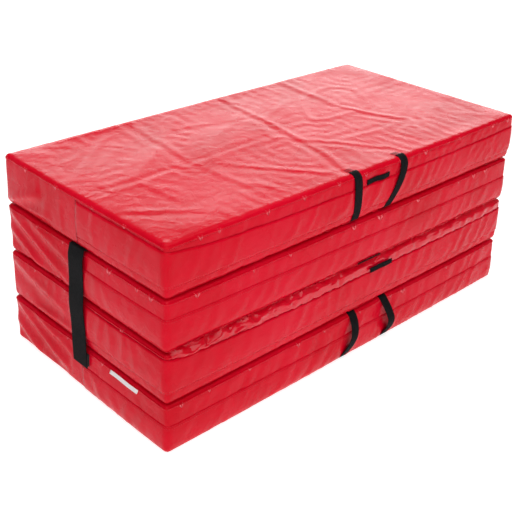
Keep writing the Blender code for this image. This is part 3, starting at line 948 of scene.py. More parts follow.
def calm_share(panel, points):
    """Where the side cloth lies calm: most near the left front corner, least at the right."""
    s, z = along_side(points[:, 0], points[:, 1]), points[:, 2]
    on_left_end = LEFT_CALM + LEFT_CALM_PATCHES * noise_on(s, z, LEFT_CALM_GRAIN, panel + 115)
    elsewhere = CALM - CALM_FALL * s + CALM_PATCHES * noise_on(s, z, CALM_GRAIN, panel + 110)
    return np.clip(np.where(s < -PANEL_LENGTH / 2, on_left_end, elsewhere), 0, MOST_CALM)


def rim_points(faces):
    """The points on the open edges of a sheet, which are those whose edge belongs to one face only."""
    uses = {}
    for face in faces:
        for a, b in zip(face, face[1:] + face[:1]):
            key = (min(a, b), max(a, b))
            uses[key] = uses.get(key, 0) + 1
    return sorted({index for key, count in uses.items() if count == 1 for index in key})


print("foam's hold", round(FOAM_GRIP**4, 3), "against 1 at a seam")

# %% [markdown]
# ## Relaxing a cover
# Only the cloth that shows is run: the sides with their rims, and the top of the uppermost panel. Between
# two panels it is pressed flat, and stays as it is. On the flat top less than a fifth of the waves is
# kept. The cloth may stand out a little further on the mat's two ends, and not at all behind a strap.

# %% Relaxing a cover
COVER_SLACK = {4: 0.010, 3: 0.012, 2: 0.012, 1: 0.012}
COVER_STIFFNESS = 0.8
TOP_WAVES_KEPT = 0.18
PUSHED_OUT = 0.008
PUSHED_OUT_AT_ENDS = 0.004
NEAR_END = 0.02
FACES_UP = 0.5
PUSHED_IN = -0.0054
PRESSED_BY_STRAP = STRAP_WIDTH * 0.7


def relax_cover(panel, points, normals, faces, places):
    """Simulates the part of a cover that shows."""
    shows = (abs(normals[:, 2]) < LEVEL) | ((panel == 4) & (normals[:, 2] > FACES_UP))
    part = np.flatnonzero(shows)
    number = np.full(len(points), -1)
    number[part] = np.arange(len(part))
    part_faces = [number[face].tolist() for face in faces if shows[face].all()]
    points, normals = points[part], normals[part]
    weights = seam_grip(panel, points, normals)
    weights[rim_points(part_faces)] = 1
    top = np.clip(normals[:, 2], 0, 1) ** 4
    broad = np.maximum(top, calm_share(panel, points))
    moved = buckle(places[part], part_faces, weights, COVER_SLACK[panel], COVER_STIFFNESS, broad)
    under_strap = on_an_end(points[:, 0]) & (abs(points[:, 1]) < PRESSED_BY_STRAP)
    at_end = PANEL_LENGTH / 2 - abs(points[:, 0]) < NEAR_END
    high = np.where(under_strap, 0.0, PUSHED_OUT + PUSHED_OUT_AT_ENDS * at_end)
    kept = 1 - (1 - TOP_WAVES_KEPT) * top
    result = places.copy()
    result[part] = keep_near(panel, points, normals, places[part], moved, PUSHED_IN, high, kept)
    return result


print("spare cloth in percent", [round(100 * COVER_SLACK[panel], 1) for panel in PANELS])

# %% [markdown]
# ## Making the covers
# Each cover is rounded, creased, relaxed by the cloth run and then smoothed once by subdivision. A search
# tree of its faces is kept too, because all that is sewn on later is laid on the finished cloth. The
# uppermost cover has finer cells, as the camera looks down on it.

# %% Making the covers
COVER_CELL = 0.010
TOP_COVER_CELL = 0.008
SIDE_CELL = 0.009
skins = {}


def make_cover(panel):
    skin, faces = panel_skin(TOP_COVER_CELL if panel == 4 else COVER_CELL, SIDE_CELL)
    points, normals = round_off(panel, skin)
    places = place_on(panel, points, normals, relief_at(panel, points, normals))
    places = relax_cover(panel, points, normals, faces, places)
    cover = add_mesh(f"cover_cloth_{panel}", places, faces, red_cloth)
    smooth = cover.modifiers.new("Finer", "SUBSURF")
    smooth.levels = 1
    smooth.render_levels = 1
    finer = bpy.data.meshes.new_from_object(cover.evaluated_get(bpy.context.evaluated_depsgraph_get()))
    cover.modifiers.clear()
    cover.data = finer
    corners = [vertex.co for vertex in finer.vertices]
    skins[panel] = BVHTree.FromPolygons(corners, [tuple(face.vertices) for face in finer.polygons])
    belongs_to(cover, f"panel_{panel}", "red_vinyl", f"cover_{panel}")
    print(cover.name, len(finer.polygons), "faces")


for panel in PANELS:
    make_cover(panel)

# %% [markdown]
# ## Sewing on to the cloth
# Everything that is sewn on has to lie on the cloth as it now is. A ray from outside finds the cloth
# under each point, the way a finger pressed on the cover would.

# %% Finding the cloth
RAY_START = 0.025


def cloth_lift(panel, points, normals):
    """How far the cloth stands outside the straight form at each point."""
    base, way = straight_form(panel, points, normals)
    lifts = np.zeros(len(points))
    for n, (place, out) in enumerate(zip(base, way)):
        distance = skins[panel].ray_cast(Vector(place + RAY_START * out), Vector(-out), 2 * RAY_START)[3]
        if distance is not None:
            lifts[n] = RAY_START - distance
    return lifts


def on_cloth(panel, points, normals, outward=0.0):
    """World places on the cloth, or a little outside it."""
    return place_on(panel, points, normals, cloth_lift(panel, points, normals) + outward)


front = cloth_lift(4, np.array([[0.0, -PANEL_WIDTH / 2, PANEL_THICKNESS / 2]]), np.array([[0.0, -1.0, 0.0]]))
print("cloth stands", (1000 * front).round(1), "mm out at the middle of the upper front")

# %% [markdown]
# ## Foam blocks
# The foam inside is never seen while the zips are shut, but the cover needs something to lie on. Each
# block is the same rounded box, set in from the cloth, with coarse cells.

# %% Foam blocks
FOAM_INSET = 0.0062
FOAM_CELL = 0.024


def make_foam(panel):
    skin, faces = panel_skin(FOAM_CELL, FOAM_CELL)
    points, normals = round_off(panel, skin)
    places = place_on(panel, points, normals, np.full(len(points), -FOAM_INSET))
    foam = add_mesh(f"foam_block_{panel}", places, faces, foam_skin)
    belongs_to(foam, f"panel_{panel}", "foam", f"foam_core_{panel}")


for panel in PANELS:
    make_foam(panel)
print("foam blocks", len(PANELS))

# %% [markdown]
# ## Lines round the panel
# Seams, stitches, flaps and welts all run round the panel. `outline` gives the place and outward
# direction at a distance from the middle of the front. `side_line` puts that at a height on the side, and
# `rim_line` rolls it over the rim by an angle: 0 degrees is the side, 90 degrees is the top or the base.

# %% Lines round the panel
STRAIGHT_X = PANEL_LENGTH / 2 - CORNER_RADIUS
STRAIGHT_Y = PANEL_WIDTH / 2 - CORNER_RADIUS
ARC = math.pi / 2 * CORNER_RADIUS
HALF_ROUTE = STRAIGHT_X + ARC + STRAIGHT_Y
FULL_ROUTE = 2 * HALF_ROUTE + 2 * (STRAIGHT_Y + ARC + STRAIGHT_X)


def outline(s):
    """Places and outward directions at distances s from the middle of the front, round the whole panel."""
    s = np.asarray(s, float)
    side = np.where(s < 0, -1.0, 1.0)
    run = abs(s)
    back = run > HALF_ROUTE
    run = np.where(back, 2 * HALF_ROUTE - run, run)
    turn = np.clip((run - STRAIGHT_X) / CORNER_RADIUS, 0, math.pi / 2)
    out_x, out_y = np.sin(turn), -np.cos(turn)
    x = np.where(run < STRAIGHT_X, run, STRAIGHT_X + CORNER_RADIUS * out_x)
    y = -STRAIGHT_Y + CORNER_RADIUS * out_y + np.clip(run - STRAIGHT_X - ARC, 0, None)
    y, out_y = np.where(back, -y, y), np.where(back, -out_y, out_y)
    return side * x, y, side * out_x, out_y


def side_line(s, z):
    """Points and directions on the panel's upright side."""
    x, y, out_x, out_y = outline(s)
    return stacked(x, y, z), stacked(out_x, out_y, 0)


def rim_line(panel, s, angle, is_top):
    """Points and directions on the rolled rim, at an angle from the side towards the face."""
    x, y, out_x, out_y = outline(s)
    radius = rim_radius(panel, x, y) if is_top else np.full_like(x, LOW_RIM)
    inset = radius * (1 - math.cos(angle))
    drop = radius * (1 - math.sin(angle))
    z = PANEL_THICKNESS - drop if is_top else drop
    up = math.sin(angle) if is_top else -math.sin(angle)
    points = stacked(x - out_x * inset, y - out_y * inset, z)
    return points, stacked(out_x * math.cos(angle), out_y * math.cos(angle), up)


print("once round a panel", round(FULL_ROUTE, 2), "m")

# %% [markdown]
# ## Welts
# Where the top or bottom cloth meets the side band, the seam allowance is folded into a narrow welt. It
# catches the light as a thin bright line, and it is not quite even, because the machine feeds slack
# cloth. Each welt is a thin tube along the rim whose thickness and height wander a little. The mat's own
# base has none.

# %% Welts
WELT_RADIUS = 0.0015
WELT_UNEVEN = 0.22
WELT_ANGLE = math.radians(4)
LOW_WELT_ANGLE = math.radians(60)
WELT_STANDOFF = 0.0006
WELT_WANDER = 0.0005
WELT_SIDES = 6
WELT_STEP = 0.006
TUBE_WIDTH = 1.25
TUBE_HEIGHT = 0.8


def closed_route(step):
    """Even distances once round the panel."""
    count = round(FULL_ROUTE / step)
    return (np.arange(count) / count - 0.5) * FULL_ROUTE


def tube_faces(rings, sides):
    """Faces of a closed tube whose points are numbered ring by ring."""
    faces = []
    for ring in range(rings):
        after = (ring + 1) % rings
        for i in range(sides):
            j = (i + 1) % sides
            faces.append((ring * sides + i, ring * sides + j, after * sides + j, after * sides + i))
    return faces


def tube_along(centres, normals, radius, sides):
    """Rings of points round a closed line, flattened towards the cloth."""
    forward = np.roll(centres, -1, 0) - np.roll(centres, 1, 0)
    forward /= np.linalg.norm(forward, axis=1)[:, None]
    across = np.cross(forward, normals)
    across /= np.linalg.norm(across, axis=1)[:, None]
    rings = []
    for i in range(sides):
        turn = 2 * math.pi * i / sides
        way = TUBE_WIDTH * math.cos(turn) * across + TUBE_HEIGHT * math.sin(turn) * normals
        rings.append(centres + radius[:, None] * way)
    return np.stack(rings, 1).reshape(-1, 3)


def make_welt(panel, is_top):
    s = closed_route(WELT_STEP)
    points, normals = rim_line(panel, s, WELT_ANGLE if is_top else LOW_WELT_ANGLE, is_top)
    wander = noise_at(points, (22, 22, 22), panel + 5 * is_top)
    centres = on_cloth(panel, points, normals, WELT_STANDOFF + WELT_WANDER * wander)
    radius = WELT_RADIUS * (1 + WELT_UNEVEN * noise_at(points, (70, 70, 70), panel + 3))
    rings = tube_along(centres, normals, radius, WELT_SIDES)
    where = "top" if is_top else "base"
    welt = add_mesh(f"welt_{where}_{panel}", rings, tube_faces(len(s), WELT_SIDES), red_flap_cloth)
    belongs_to(welt, f"panel_{panel}", "red_vinyl")


WELTS = [(panel, is_top) for panel in PANELS for is_top in (True, False) if panel > 1 or is_top]
for panel, is_top in WELTS:
    make_welt(panel, is_top)
print("welts", len(WELTS), "tubes of", round(FULL_ROUTE, 2), "m")

# %% [markdown]
# ## Beads for thread and tucks
# A stitch is a short thread that dives into the cloth at both ends. One stretched eight-sided bead each
# is enough at this size, and all the stitches of a panel share one mesh, so that thousands of them stay
# light.

# %% Beads for thread and tucks
STITCH_LENGTH = 0.0042
STITCH_GAP = 0.0018
STITCH_RADIUS = 0.0004


def beads(first, last, middle, across, normal, radius):
    """Six points for each bead: its two tips, and four round its middle."""
    side, rise = radius * across, radius * normal
    return np.stack([first, last, middle + side, middle + rise, middle - side, middle - rise], 1)


def stitch_points(path, normals, length=STITCH_LENGTH, gap=STITCH_GAP, radius=STITCH_RADIUS):
    """The beads of a row of stitches along a path of closely spaced places."""
    steps = np.linalg.norm(np.diff(path, axis=0), axis=1)
    run = np.concatenate([[0], np.cumsum(steps)])
    starts = np.arange(0, run[-1] - length, length + gap)

    def at(distance, values):
        return np.stack([np.interp(distance, run, values[:, k]) for k in range(3)], 1)

    first, last = at(starts, path), at(starts + length, path)
    normal = at(starts + length / 2, normals)
    across = np.cross((last - first) / length, normal)
    return beads(first, last, (first + last) / 2, across, normal, radius)


def add_beads(name, rows, material, body, slot="red_vinyl"):
    """rows is a list of arrays of bead points, which become one mesh."""
    points = np.concatenate(rows).reshape(-1, 3)
    faces = []
    for tip in range(0, len(points), 6):
        for i in range(4):
            near, far = tip + 2 + i, tip + 2 + (i + 1) % 4
            faces += [(tip, far, near), (tip + 1, near, far)]
    obj = add_mesh(name, points, faces, material)
    belongs_to(obj, body, slot)
    return len(points) // 6


print("stitches every", round(1000 * (STITCH_LENGTH + STITCH_GAP), 1), "mm")

# %% [markdown]
# ## Tucks
# Where a seam gathers more cloth than it can hold, a small pleat stands up across it. Each tuck is a V of
# two larger glossy beads that starts below the rim and runs up over it. Their paler pink is painted
# highlight, so each shows as a single bright glint. None stands at a front corner, where the cloth is
# stretched.

# %% Tucks
TUCK_PITCH = 0.120
TUCK_SHIFT = 0.8 * TUCK_PITCH
TUCK_JITTER_STEP = 0.73
TUCK_RADIUS = 0.0035
TUCK_LEAST_SIZE = 0.35
TUCK_SIZE_RANGE = 1.3
TUCK_SPREAD = 0.010
TUCK_LEAST_SPREAD = 0.4
TUCK_FOOT = 0.015
TUCK_FOOT_RANGE = 0.007
TUCK_TOP_ANGLE = math.radians(48)
TUCK_RISE = 0.0022
TUCK_FOOT_LIFT = 0.0002
TUCK_HEAD_LIFT = -0.0004
CORNER_CLEAR = 0.04
CORNER_STEP = 0.06


def tucks(panel):
    """Beads in pairs, at uneven steps round the rim."""
    count = round(FULL_ROUTE / TUCK_PITCH)
    steps = np.arange(count)
    jitter = noise_on(steps * TUCK_JITTER_STEP, 0, (1, 1), panel + 15)
    foot = (steps / count - 0.5) * FULL_ROUTE + TUCK_SHIFT * jitter
    from_corner = abs(abs(foot) - STRAIGHT_X)
    foot = np.where(from_corner < CORNER_CLEAR, foot - np.sign(foot) * CORNER_STEP, foot)
    pairs = []
    for way in (-1, 1):
        low_point, low_normal = side_line(foot, PANEL_THICKNESS - TUCK_FOOT - TUCK_FOOT_RANGE * abs(jitter))
        head = foot + way * TUCK_SPREAD * (TUCK_LEAST_SPREAD + abs(jitter))
        high_point, high_normal = rim_line(panel, head, TUCK_TOP_ANGLE, True)
        first = on_cloth(panel, low_point, low_normal, TUCK_FOOT_LIFT)
        last = on_cloth(panel, high_point, high_normal, TUCK_HEAD_LIFT)
        normal = (low_normal + high_normal) / np.linalg.norm(low_normal + high_normal, axis=1)[:, None]
        middle = (first + last) / 2 + TUCK_RISE * normal
        forward = (last - first) / np.linalg.norm(last - first, axis=1)[:, None]
        radius = TUCK_RADIUS * (TUCK_LEAST_SIZE + TUCK_SIZE_RANGE * abs(jitter))[:, None]
        pairs.append(beads(first, last, middle, np.cross(forward, normal), normal, radius))
    return pairs


for panel in PANELS:
    # The tucks' paler pink is painted highlight for their glints.
    add_beads(f"rim_tucks_{panel}", tucks(panel), glint_tuck_cloth, f"panel_{panel}")
print("tucks about every", round(1000 * TUCK_PITCH), "mm")

# %% [markdown]
# ## Rim stitches
# A row of red thread runs just below each top welt. Panels 2 to 4 have a second row under their base,
# which shows only when the mat is opened.

# %% Rim stitches
TOP_ROW_ANGLE = math.radians(-14)
BASE_ROW_ANGLE = math.radians(85)
THREAD_LIFT = 0.0003


def rim_stitches(panel, is_top, angle):
    s = closed_route(WELT_STEP)
    points, normals = rim_line(panel, s, angle, is_top)
    return stitch_points(on_cloth(panel, points, normals, THREAD_LIFT), normals)


for panel in PANELS:
    rows = [rim_stitches(panel, True, TOP_ROW_ANGLE)]
    if panel > 1:
        rows.append(rim_stitches(panel, False, BASE_ROW_ANGLE))
    count = add_beads(f"rim_stitches_{panel}", rows, red_thread, f"panel_{panel}")
    print("panel", panel, "has", count, "rim stitches")

# %% [markdown]
# ## Sheets
# A flap, a strip of webbing and a fold are all sheets: a grid of points that gets a thickness. The area
# of the grid is what was cut from the roll.

# %% Sheets


def grid_faces(columns, rows, flip=False):
    """Faces of a grid whose points are numbered column by column."""
    faces = []
    for i in range(columns - 1):
        for j in range(rows - 1):
            k = i * rows + j
            loop = (k, k + rows, k + rows + 1, k + 1)
            faces.append(loop[::-1] if flip else loop)
    return faces


def add_sheet(name, points, columns, rows, thickness, material, flip=False, offset=1.0):
    sheet = add_mesh(name, points, grid_faces(columns, rows, flip), material)
    solid = sheet.modifiers.new("Thickness", "SOLIDIFY")
    solid.thickness = thickness
    solid.offset = offset
    return sheet


def grid_points(lines):
    """Numbers the points of lines that lie side by side in the order that add_sheet wants."""
    return np.stack(lines, 1).reshape(-1, 3)


print("a grid of 3 by 4 points has", len(grid_faces(3, 4)), "faces")

# %% [markdown]
# ## Storm flaps
# A flap of the same cloth hides each zip. It is sewn down along one edge and free along the other, so the
# free edge makes a crisp line with a thin shadow, and it sags in the middle of the long side. Its middle
# arches over the zip slider. The flap is run as cloth too, and stays flat behind the straps and close to
# the panel behind the handles, which need the room when the mat is opened.

# %% Storm flaps
FLAP_THICKNESS = 0.0007
FLAP_LENGTH = 2 * HALF_ROUTE
FLAP_LIFT = 0.0006
FLAP_TUCKED_IN = 0.0012
FLAP_ARCH = 0.0018
FLAP_GRIP = 0.30
FLAP_SLACK = 0.009
FLAP_STIFFNESS = 0.5
FLAP_ROWS = 13
FLAP_STEP = 0.006
EDGE_WANDER = 0.0013
START_WAVE = 0.0006
FLAP_WAVE = 0.0042
WAVE_UNDER_STRAP = 0.0004
HANDLES_MIDDLE = 0.035
HANDLES_REACH = 0.12
FREE_AFTER = 0.05
BEHIND_HANDLES = 0.15
SEWN_END = 0.004


def flap_highest(points, low):
    """The highest that each point of a flap may stand, from its lowest."""
    from_handles = (abs(points[:, 0] - HANDLES_MIDDLE) - HANDLES_REACH) / FREE_AFTER
    free = FLAP_WAVE * np.clip(from_handles, BEHIND_HANDLES, 1)
    near_strap = on_an_end(points[:, 0]) & (points[:, 1] > -PRESSED_BY_STRAP)
    return low + np.where(near_strap, WAVE_UNDER_STRAP, free)


def make_flap(panel):
    count = round(FLAP_LENGTH / FLAP_STEP) + 1
    s = np.linspace(-HALF_ROUTE, HALF_ROUTE, count)
    x = outline(s)[0]
    edge = flap_edge_drop(panel, x) + EDGE_WANDER * noise_on(s, 0, (12, 1), panel + 70)
    seam = flap_seam_drop(panel, x)
    share = np.tile(np.linspace(0, 1, FLAP_ROWS), count)
    drop = np.repeat(seam, FLAP_ROWS) + np.repeat(edge - seam, FLAP_ROWS) * share
    points, normals = side_line(np.repeat(s, FLAP_ROWS), height_at(panel, drop))
    under = cloth_lift(panel, points, normals)
    arch = FLAP_ARCH * np.sin(math.pi * share)
    low = np.where(share > 0, np.maximum(under + FLAP_LIFT, 0), under - FLAP_TUCKED_IN) + arch
    start = low + START_WAVE * noise_at(points, (30, 30, 12), panel + 80) * share
    places = place_on(panel, points, normals, start)
    flip = not zip_side_is_up(panel)
    held = (share == 0) | (np.repeat(abs(s), FLAP_ROWS) > HALF_ROUTE - SEWN_END)
    weights = np.where(held, 1, FLAP_GRIP)
    faces = grid_faces(count, FLAP_ROWS, flip)
    calm = calm_share(panel + 20, points)
    moved = buckle(places, faces, weights, FLAP_SLACK, FLAP_STIFFNESS, calm)
    places = keep_near(panel, points, normals, places, moved, low, flap_highest(points, low))
    name = f"storm_flap_{panel}"
    flap = add_sheet(name, places, count, FLAP_ROWS, FLAP_THICKNESS, red_flap_cloth, flip)
    belongs_to(flap, f"panel_{panel}", "red_vinyl", f"zip_flap_{panel}")
    print(flap.name, "sewn", round(1000 * FLAP_SEAMS[panel][0]), "mm from its rim")


print("each flap", round(1000 * FLAP_LENGTH), "mm long")

# %% [markdown]
# ## Sewing the flaps down
# Two rows of red thread hold the flap beside its seam. In the middle of each end of the mat, a closed
# line of stitches ends it. Their dark red is painted shade for the thin shadow there, so they show as a dark
# upright line.

# %% Sewing the flaps down
SEAM_ROWS = ((0.003, 0.0022), (0.0085, 0.0034))
END_SEAM_GAP = 0.0016
END_SEAM_LIFT = 0.0008
END_STITCH = dict(length=0.0050, gap=0.0002, radius=0.0012)


def seam_stitches(panel, from_seam, outward):
    """A row of stitches on the flap, at a distance from its seam."""
    s = np.linspace(-HALF_ROUTE, HALF_ROUTE, round(2 * HALF_ROUTE / WELT_STEP))
    drop = flap_seam_drop(panel, outline(s)[0]) - from_seam
    points, normals = side_line(s, height_at(panel, drop))
    return stitch_points(on_cloth(panel, points, normals, outward), normals)


def end_seam(panel, side):
    """A line of dark stitches, painted shade for the thin shadow there, that closes the flap's end in the
    middle of the mat's end.
    """
    z = np.linspace(LOW_RIM, PANEL_THICKNESS - RIM_AT_CORNER, 30)
    points, normals = side_line(np.full_like(z, side * (HALF_ROUTE + END_SEAM_GAP)), z)
    return stitch_points(on_cloth(panel, points, normals, END_SEAM_LIFT), normals, **END_STITCH)


for panel in PANELS:
    make_flap(panel)
    ends = [end_seam(panel, side) for side in (-1, 1)]
    # The end seams' dark red is painted shade for the thin shadow where the flap ends.
    add_beads(f"end_seams_{panel}", ends, shade_painted_thread, f"panel_{panel}")
    rows = [seam_stitches(panel, from_seam, outward) for from_seam, outward in SEAM_ROWS]
    count = add_beads(f"flap_stitches_{panel}", rows, red_thread, f"panel_{panel}")
    print("flap", panel, "is held by", count, "stitches")

# %% [markdown]
# ## Webbing strips
# Handles, straps and tabs are flat webbing. Each is a grid along a line of chosen points: the line is
# smoothed, the width is laid across it, and a thickness is added. A small bevel rounds the woven edge.

# %% Webbing strips
WEBBING_THICKNESS = 0.0018
BEVEL_SHARE = 0.3
BEVEL_ANGLE = math.radians(60)


def smooth_line(points, count):
    """A smooth curve through the chosen points, as many places as asked for."""
    points = np.array(points, float)
    padded = np.vstack([2 * points[0] - points[1], points, 2 * points[-1] - points[-2]])
    places = []
    spans = len(points) - 1
    for t in np.linspace(0, spans, count):
        k = min(int(t), spans - 1)
        u = t - k
        p0, p1, p2, p3 = padded[k:k + 4]
        curve = 2 * p1 + (p2 - p0) * u
        curve = curve + (2 * p0 - 5 * p1 + 4 * p2 - p3) * u**2
        curve = curve + (3 * p1 - p0 - 3 * p2 + p3) * u**3
        places.append(0.5 * curve)
    return np.array(places)


def add_strip(name, line, across, width, material, thickness=WEBBING_THICKNESS, cells=4):
    """A strip of webbing whose middle follows the line, with its width laid along the direction across."""
    shares = np.linspace(-0.5, 0.5, cells + 1)
    points = (line[:, None, :] + shares[None, :, None] * width * np.array(across, float)).reshape(-1, 3)
    strip = add_sheet(name, points, len(line), cells + 1, thickness, material, offset=0.0)
    bevel = strip.modifiers.new("Woven edge", "BEVEL")
    bevel.width = thickness * BEVEL_SHARE
    bevel.segments = 2
    bevel.limit_method = "ANGLE"
    bevel.angle_limit = BEVEL_ANGLE
    return strip


print("webbing", round(1000 * WEBBING_THICKNESS, 1), "mm thick")

# %% [markdown]
# ## Carrying handles
# Each handle is sewn on at both rims and hangs slack between. The slack bows it out from the mat and lets
# it lean, so no two look alike. When the mat is opened the handles of the top and bottom panels come face
# to face.

# %% Carrying handles
HANDLE_WIDTH = 0.025
HANDLE_STEPS = 60
FACE_Y = -PANEL_WIDTH / 2
HANDLES = {
    "handle_top_left": dict(panel=4, top_x=-0.046, lean=0.003, slack=0.000),
    "handle_top_right": dict(panel=4, top_x=0.122, lean=-0.047, slack=0.003),
    "handle_bottom_left": dict(panel=1, top_x=-0.020, lean=-0.022, slack=0.013),
    "handle_bottom_right": dict(panel=1, top_x=0.100, lean=0.012, slack=0.020),
}
# Each row: share of the lean, height on the panel, distance out from it, share of the slack.
HANDLE_ROUTE = [
    (0.00, 0.1215, -0.013, 0), (0.00, 0.1195, -0.003, 0), (0.02, 0.110, 0.0068, 0),
    (0.12, 0.092, 0.0106, 0.5), (0.38, 0.066, 0.0114, 1), (0.68, 0.040, 0.0106, 0.72),
    (0.90, 0.018, 0.0070, 0.25), (1.00, 0.0035, 0.0020, 0), (1.00, -0.0012, -0.008, 0),
]


def make_handle(name, panel, top_x, lean, slack):
    base = (panel - 1) * PITCH
    points = [
        (top_x + lean * share, FACE_Y - (out + slack_share * slack), base + z)
        for share, z, out, slack_share in HANDLE_ROUTE
    ]
    line = smooth_line(points, HANDLE_STEPS)
    strip = add_strip(f"{name}_webbing", line, (1, 0, 0), HANDLE_WIDTH, handle_webbing)
    belongs_to(strip, f"panel_{panel}", "black_webbing", name)
    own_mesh(strip)
    print(name, "bows out", round(1000 * (FACE_Y - line[:, 1].min())), "mm")


for name, facts in HANDLES.items():
    make_handle(name, **facts)

# %% [markdown]
# ## Stitched patches behind the top handles
# The upper ends of the top handles lie on the top cloth, and rows of black thread across them hold them
# down. On the bottom panel the same seam is pressed under the panel above, so it is left out.

# %% Stitched patches behind the top handles
PATCH_ROWS = 6
PATCH_PITCH = 0.0032
PATCH_POINTS = 12
PATCH_INSET = 0.013
PATCH_LIFT = 0.0004
PATCH_STITCH = dict(length=0.0036, gap=0.0008, radius=0.0009)


def stitched_patch(name, top_x):
    """Rows of black thread that hold the handle's end down on the top cloth."""
    rows = []
    for row in range(PATCH_ROWS):
        x = np.linspace(-0.5, 0.5, PATCH_POINTS) * HANDLE_WIDTH + top_x
        points = stacked(x, FACE_Y + PATCH_INSET + PATCH_PITCH * row, PANEL_THICKNESS)
        normals = np.tile((0.0, 0.0, 1.0), (len(x), 1))
        rows.append(stitch_points(on_cloth(4, points, normals, PATCH_LIFT), normals, **PATCH_STITCH))
    return add_beads(f"{name}_stitching", rows, black_thread, "panel_4", "black_webbing")


for name, facts in HANDLES.items():
    if facts["panel"] == 4:
        count = stitched_patch(name, facts["top_x"])
        print(name, "is held by", count, "stitches")

# %% [markdown]
# ## Closing straps
# A wide strap comes out of the gap under the top panel and hangs down each end to the bottom panel, where
# its pad grips. It is limp but wide, so it only ripples. Its cut end is square. The strap is its own
# body, so it peels away from the end about its sewn edge.

# %% Closing straps
STRAP_STEPS = 50
STRAP_CELLS = 6
STRAP_THICKNESS = 0.0016
STRAP_STANDOFF = 0.0052
STRAP_RIPPLE = 0.0012
STRAP_RIPPLES = 2.3
STRAP_RIPPLE_START = 0.1
STRAP_SWAY = 0.005
STRAP_MIDDLE_Y = 0.002
TURNS_OUT_WITHIN = 0.08


def make_strap(end, name):
    low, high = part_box(f"strap_{name}")
    middle_x = (low[0] + high[0]) / 2
    steps = np.linspace(0, 1, STRAP_STEPS)
    z = high[2] + (low[2] - high[2]) * steps
    turns = STRAP_RIPPLES * steps + STRAP_RIPPLE_START
    ripple = STRAP_RIPPLE * np.sin(2 * math.pi * turns) * np.sin(math.pi * steps)
    sway = STRAP_SWAY * np.sin(math.pi * steps) ** 2 + STRAP_MIDDLE_Y
    out = STRAP_STANDOFF * np.clip(steps / TURNS_OUT_WITHIN, 0, 1)
    line = stacked(middle_x + end * (out + ripple), sway, z)
    strip = add_strip(f"strap_{name}_webbing", line, (0, -end, 0), STRAP_WIDTH, strap_webbing,
                      thickness=STRAP_THICKNESS, cells=STRAP_CELLS)
    belongs_to(strip, f"strap_{name}", "black_webbing", f"strap_{name}")


print("straps", round(1000 * STRAP_WIDTH), "mm wide")

# %% [markdown]
# ## Grip pads
# The strap closes with a patch of hooks on its inner side and a patch of loops on the bottom panel. Each
# patch takes the size and place of its solid, and is moved out with the strap.

# %% Grip pads
PAD_THICKNESS = 0.0009
PAD_COLUMNS = 9
PAD_ROWS = 6


def make_pad(node, end, body):
    low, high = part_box(node)
    y = np.linspace(low[1], high[1], PAD_COLUMNS)
    x = (low[0] + high[0]) / 2 + end * STRAP_STANDOFF
    points = grid_points([stacked(x, y, z) for z in np.linspace(low[2], high[2], PAD_ROWS)])
    pad = add_sheet(f"{node}_patch", points, PAD_COLUMNS, PAD_ROWS, PAD_THICKNESS, pad_pile, offset=0.0)
    belongs_to(pad, body, "hook_and_loop", node)


STRAPS = ((-1, "left"), (1, "right"))
for end, name in STRAPS:
    make_strap(end, name)
    make_pad(f"strap_hook_pad_{name}", end, f"strap_{name}")
    make_pad(f"loop_pad_{name}", end, "panel_1")
print("straps", len(STRAPS), "with two pads each")

# %% [markdown]
# ## Webbing tabs
# A short bar of webbing is sewn along the middle of the front, just outside the flap's free edge, on
# three of the panels. It follows the cloth under it. That of panel 2 faces panel 3 when the mat is
# opened.

# %% Webbing tabs
TAB_LENGTH = 0.082
TAB_THICKNESS = 0.0014
TAB_STEPS = 24
TAB_ROWS = 4
TABS = {
    4: dict(middle_x=0.025, drop=0.034, width=0.012, lift=0.0014),
    3: dict(middle_x=0.020, drop=0.0085, width=0.0036, lift=0.0042),
    2: dict(middle_x=0.062, drop=0.024, width=0.012, lift=0.0080),
}


def make_tab(panel, middle_x, drop, width, lift):
    s = np.linspace(-TAB_LENGTH / 2, TAB_LENGTH / 2, TAB_STEPS) + middle_x
    lines = []
    for share in np.linspace(0, 1, TAB_ROWS):
        points, normals = side_line(s, height_at(panel, drop - width * share))
        lines.append(on_cloth(panel, points, normals, lift))
    tab = add_sheet(f"flap_tab_{panel}_webbing", grid_points(lines), TAB_STEPS, TAB_ROWS, TAB_THICKNESS,
                    tab_webbing, not zip_side_is_up(panel))
    belongs_to(tab, f"panel_{panel}", "black_webbing", f"flap_tab_{panel}")
    if panel == 2:
        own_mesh(tab)


for panel, facts in TABS.items():
    make_tab(panel, **facts)
print("tabs", len(TABS), "of", round(1000 * TAB_LENGTH), "mm")

# %% [markdown]
# ## Where a fold's cloth can go
# A strip of cloth joins each panel to the next. Folded shut it crumples in the gap between them. Rays
# from outside find how deep the gap is at each place: as far as the covers behind it, or a set depth
# between them.

# %% The gap behind a fold
FOLD_DEEPEST = -0.0100
FOLD_RAY_START = 0.05
FOLD_RAY_LENGTH = 0.065


def gap_floor(lower, outward, places):
    """How far out from the panels' edge line the cover behind each place stands, or the depth of the gap."""
    floor = np.full(len(places), FOLD_DEEPEST)
    way = Vector((0, -outward, 0))
    for n, (x, _, z) in enumerate(places):
        start = Vector((x, outward * (PANEL_WIDTH / 2 + FOLD_RAY_START), z))
        for panel in (lower, lower + 1):
            distance = skins[panel].ray_cast(start, way, FOLD_RAY_LENGTH)[3]
            if distance is not None:
                floor[n] = max(floor[n], FOLD_RAY_START - distance)
    return floor


middle_of_gap = np.array([[0.0, 0.0, FOLD_Z[1]]])
print("gap 2-3 is", (-1000 * gap_floor(2, -1, middle_of_gap)).round(1), "mm deep at its middle")

# %% [markdown]
# ## The strip before its run
# The strip starts as a wavy ribbon over the gap: two noises, one soft and one like pinched paper, push it
# out, more at the left than at the right. It is loosest in its middle, because its edges are sewn down.

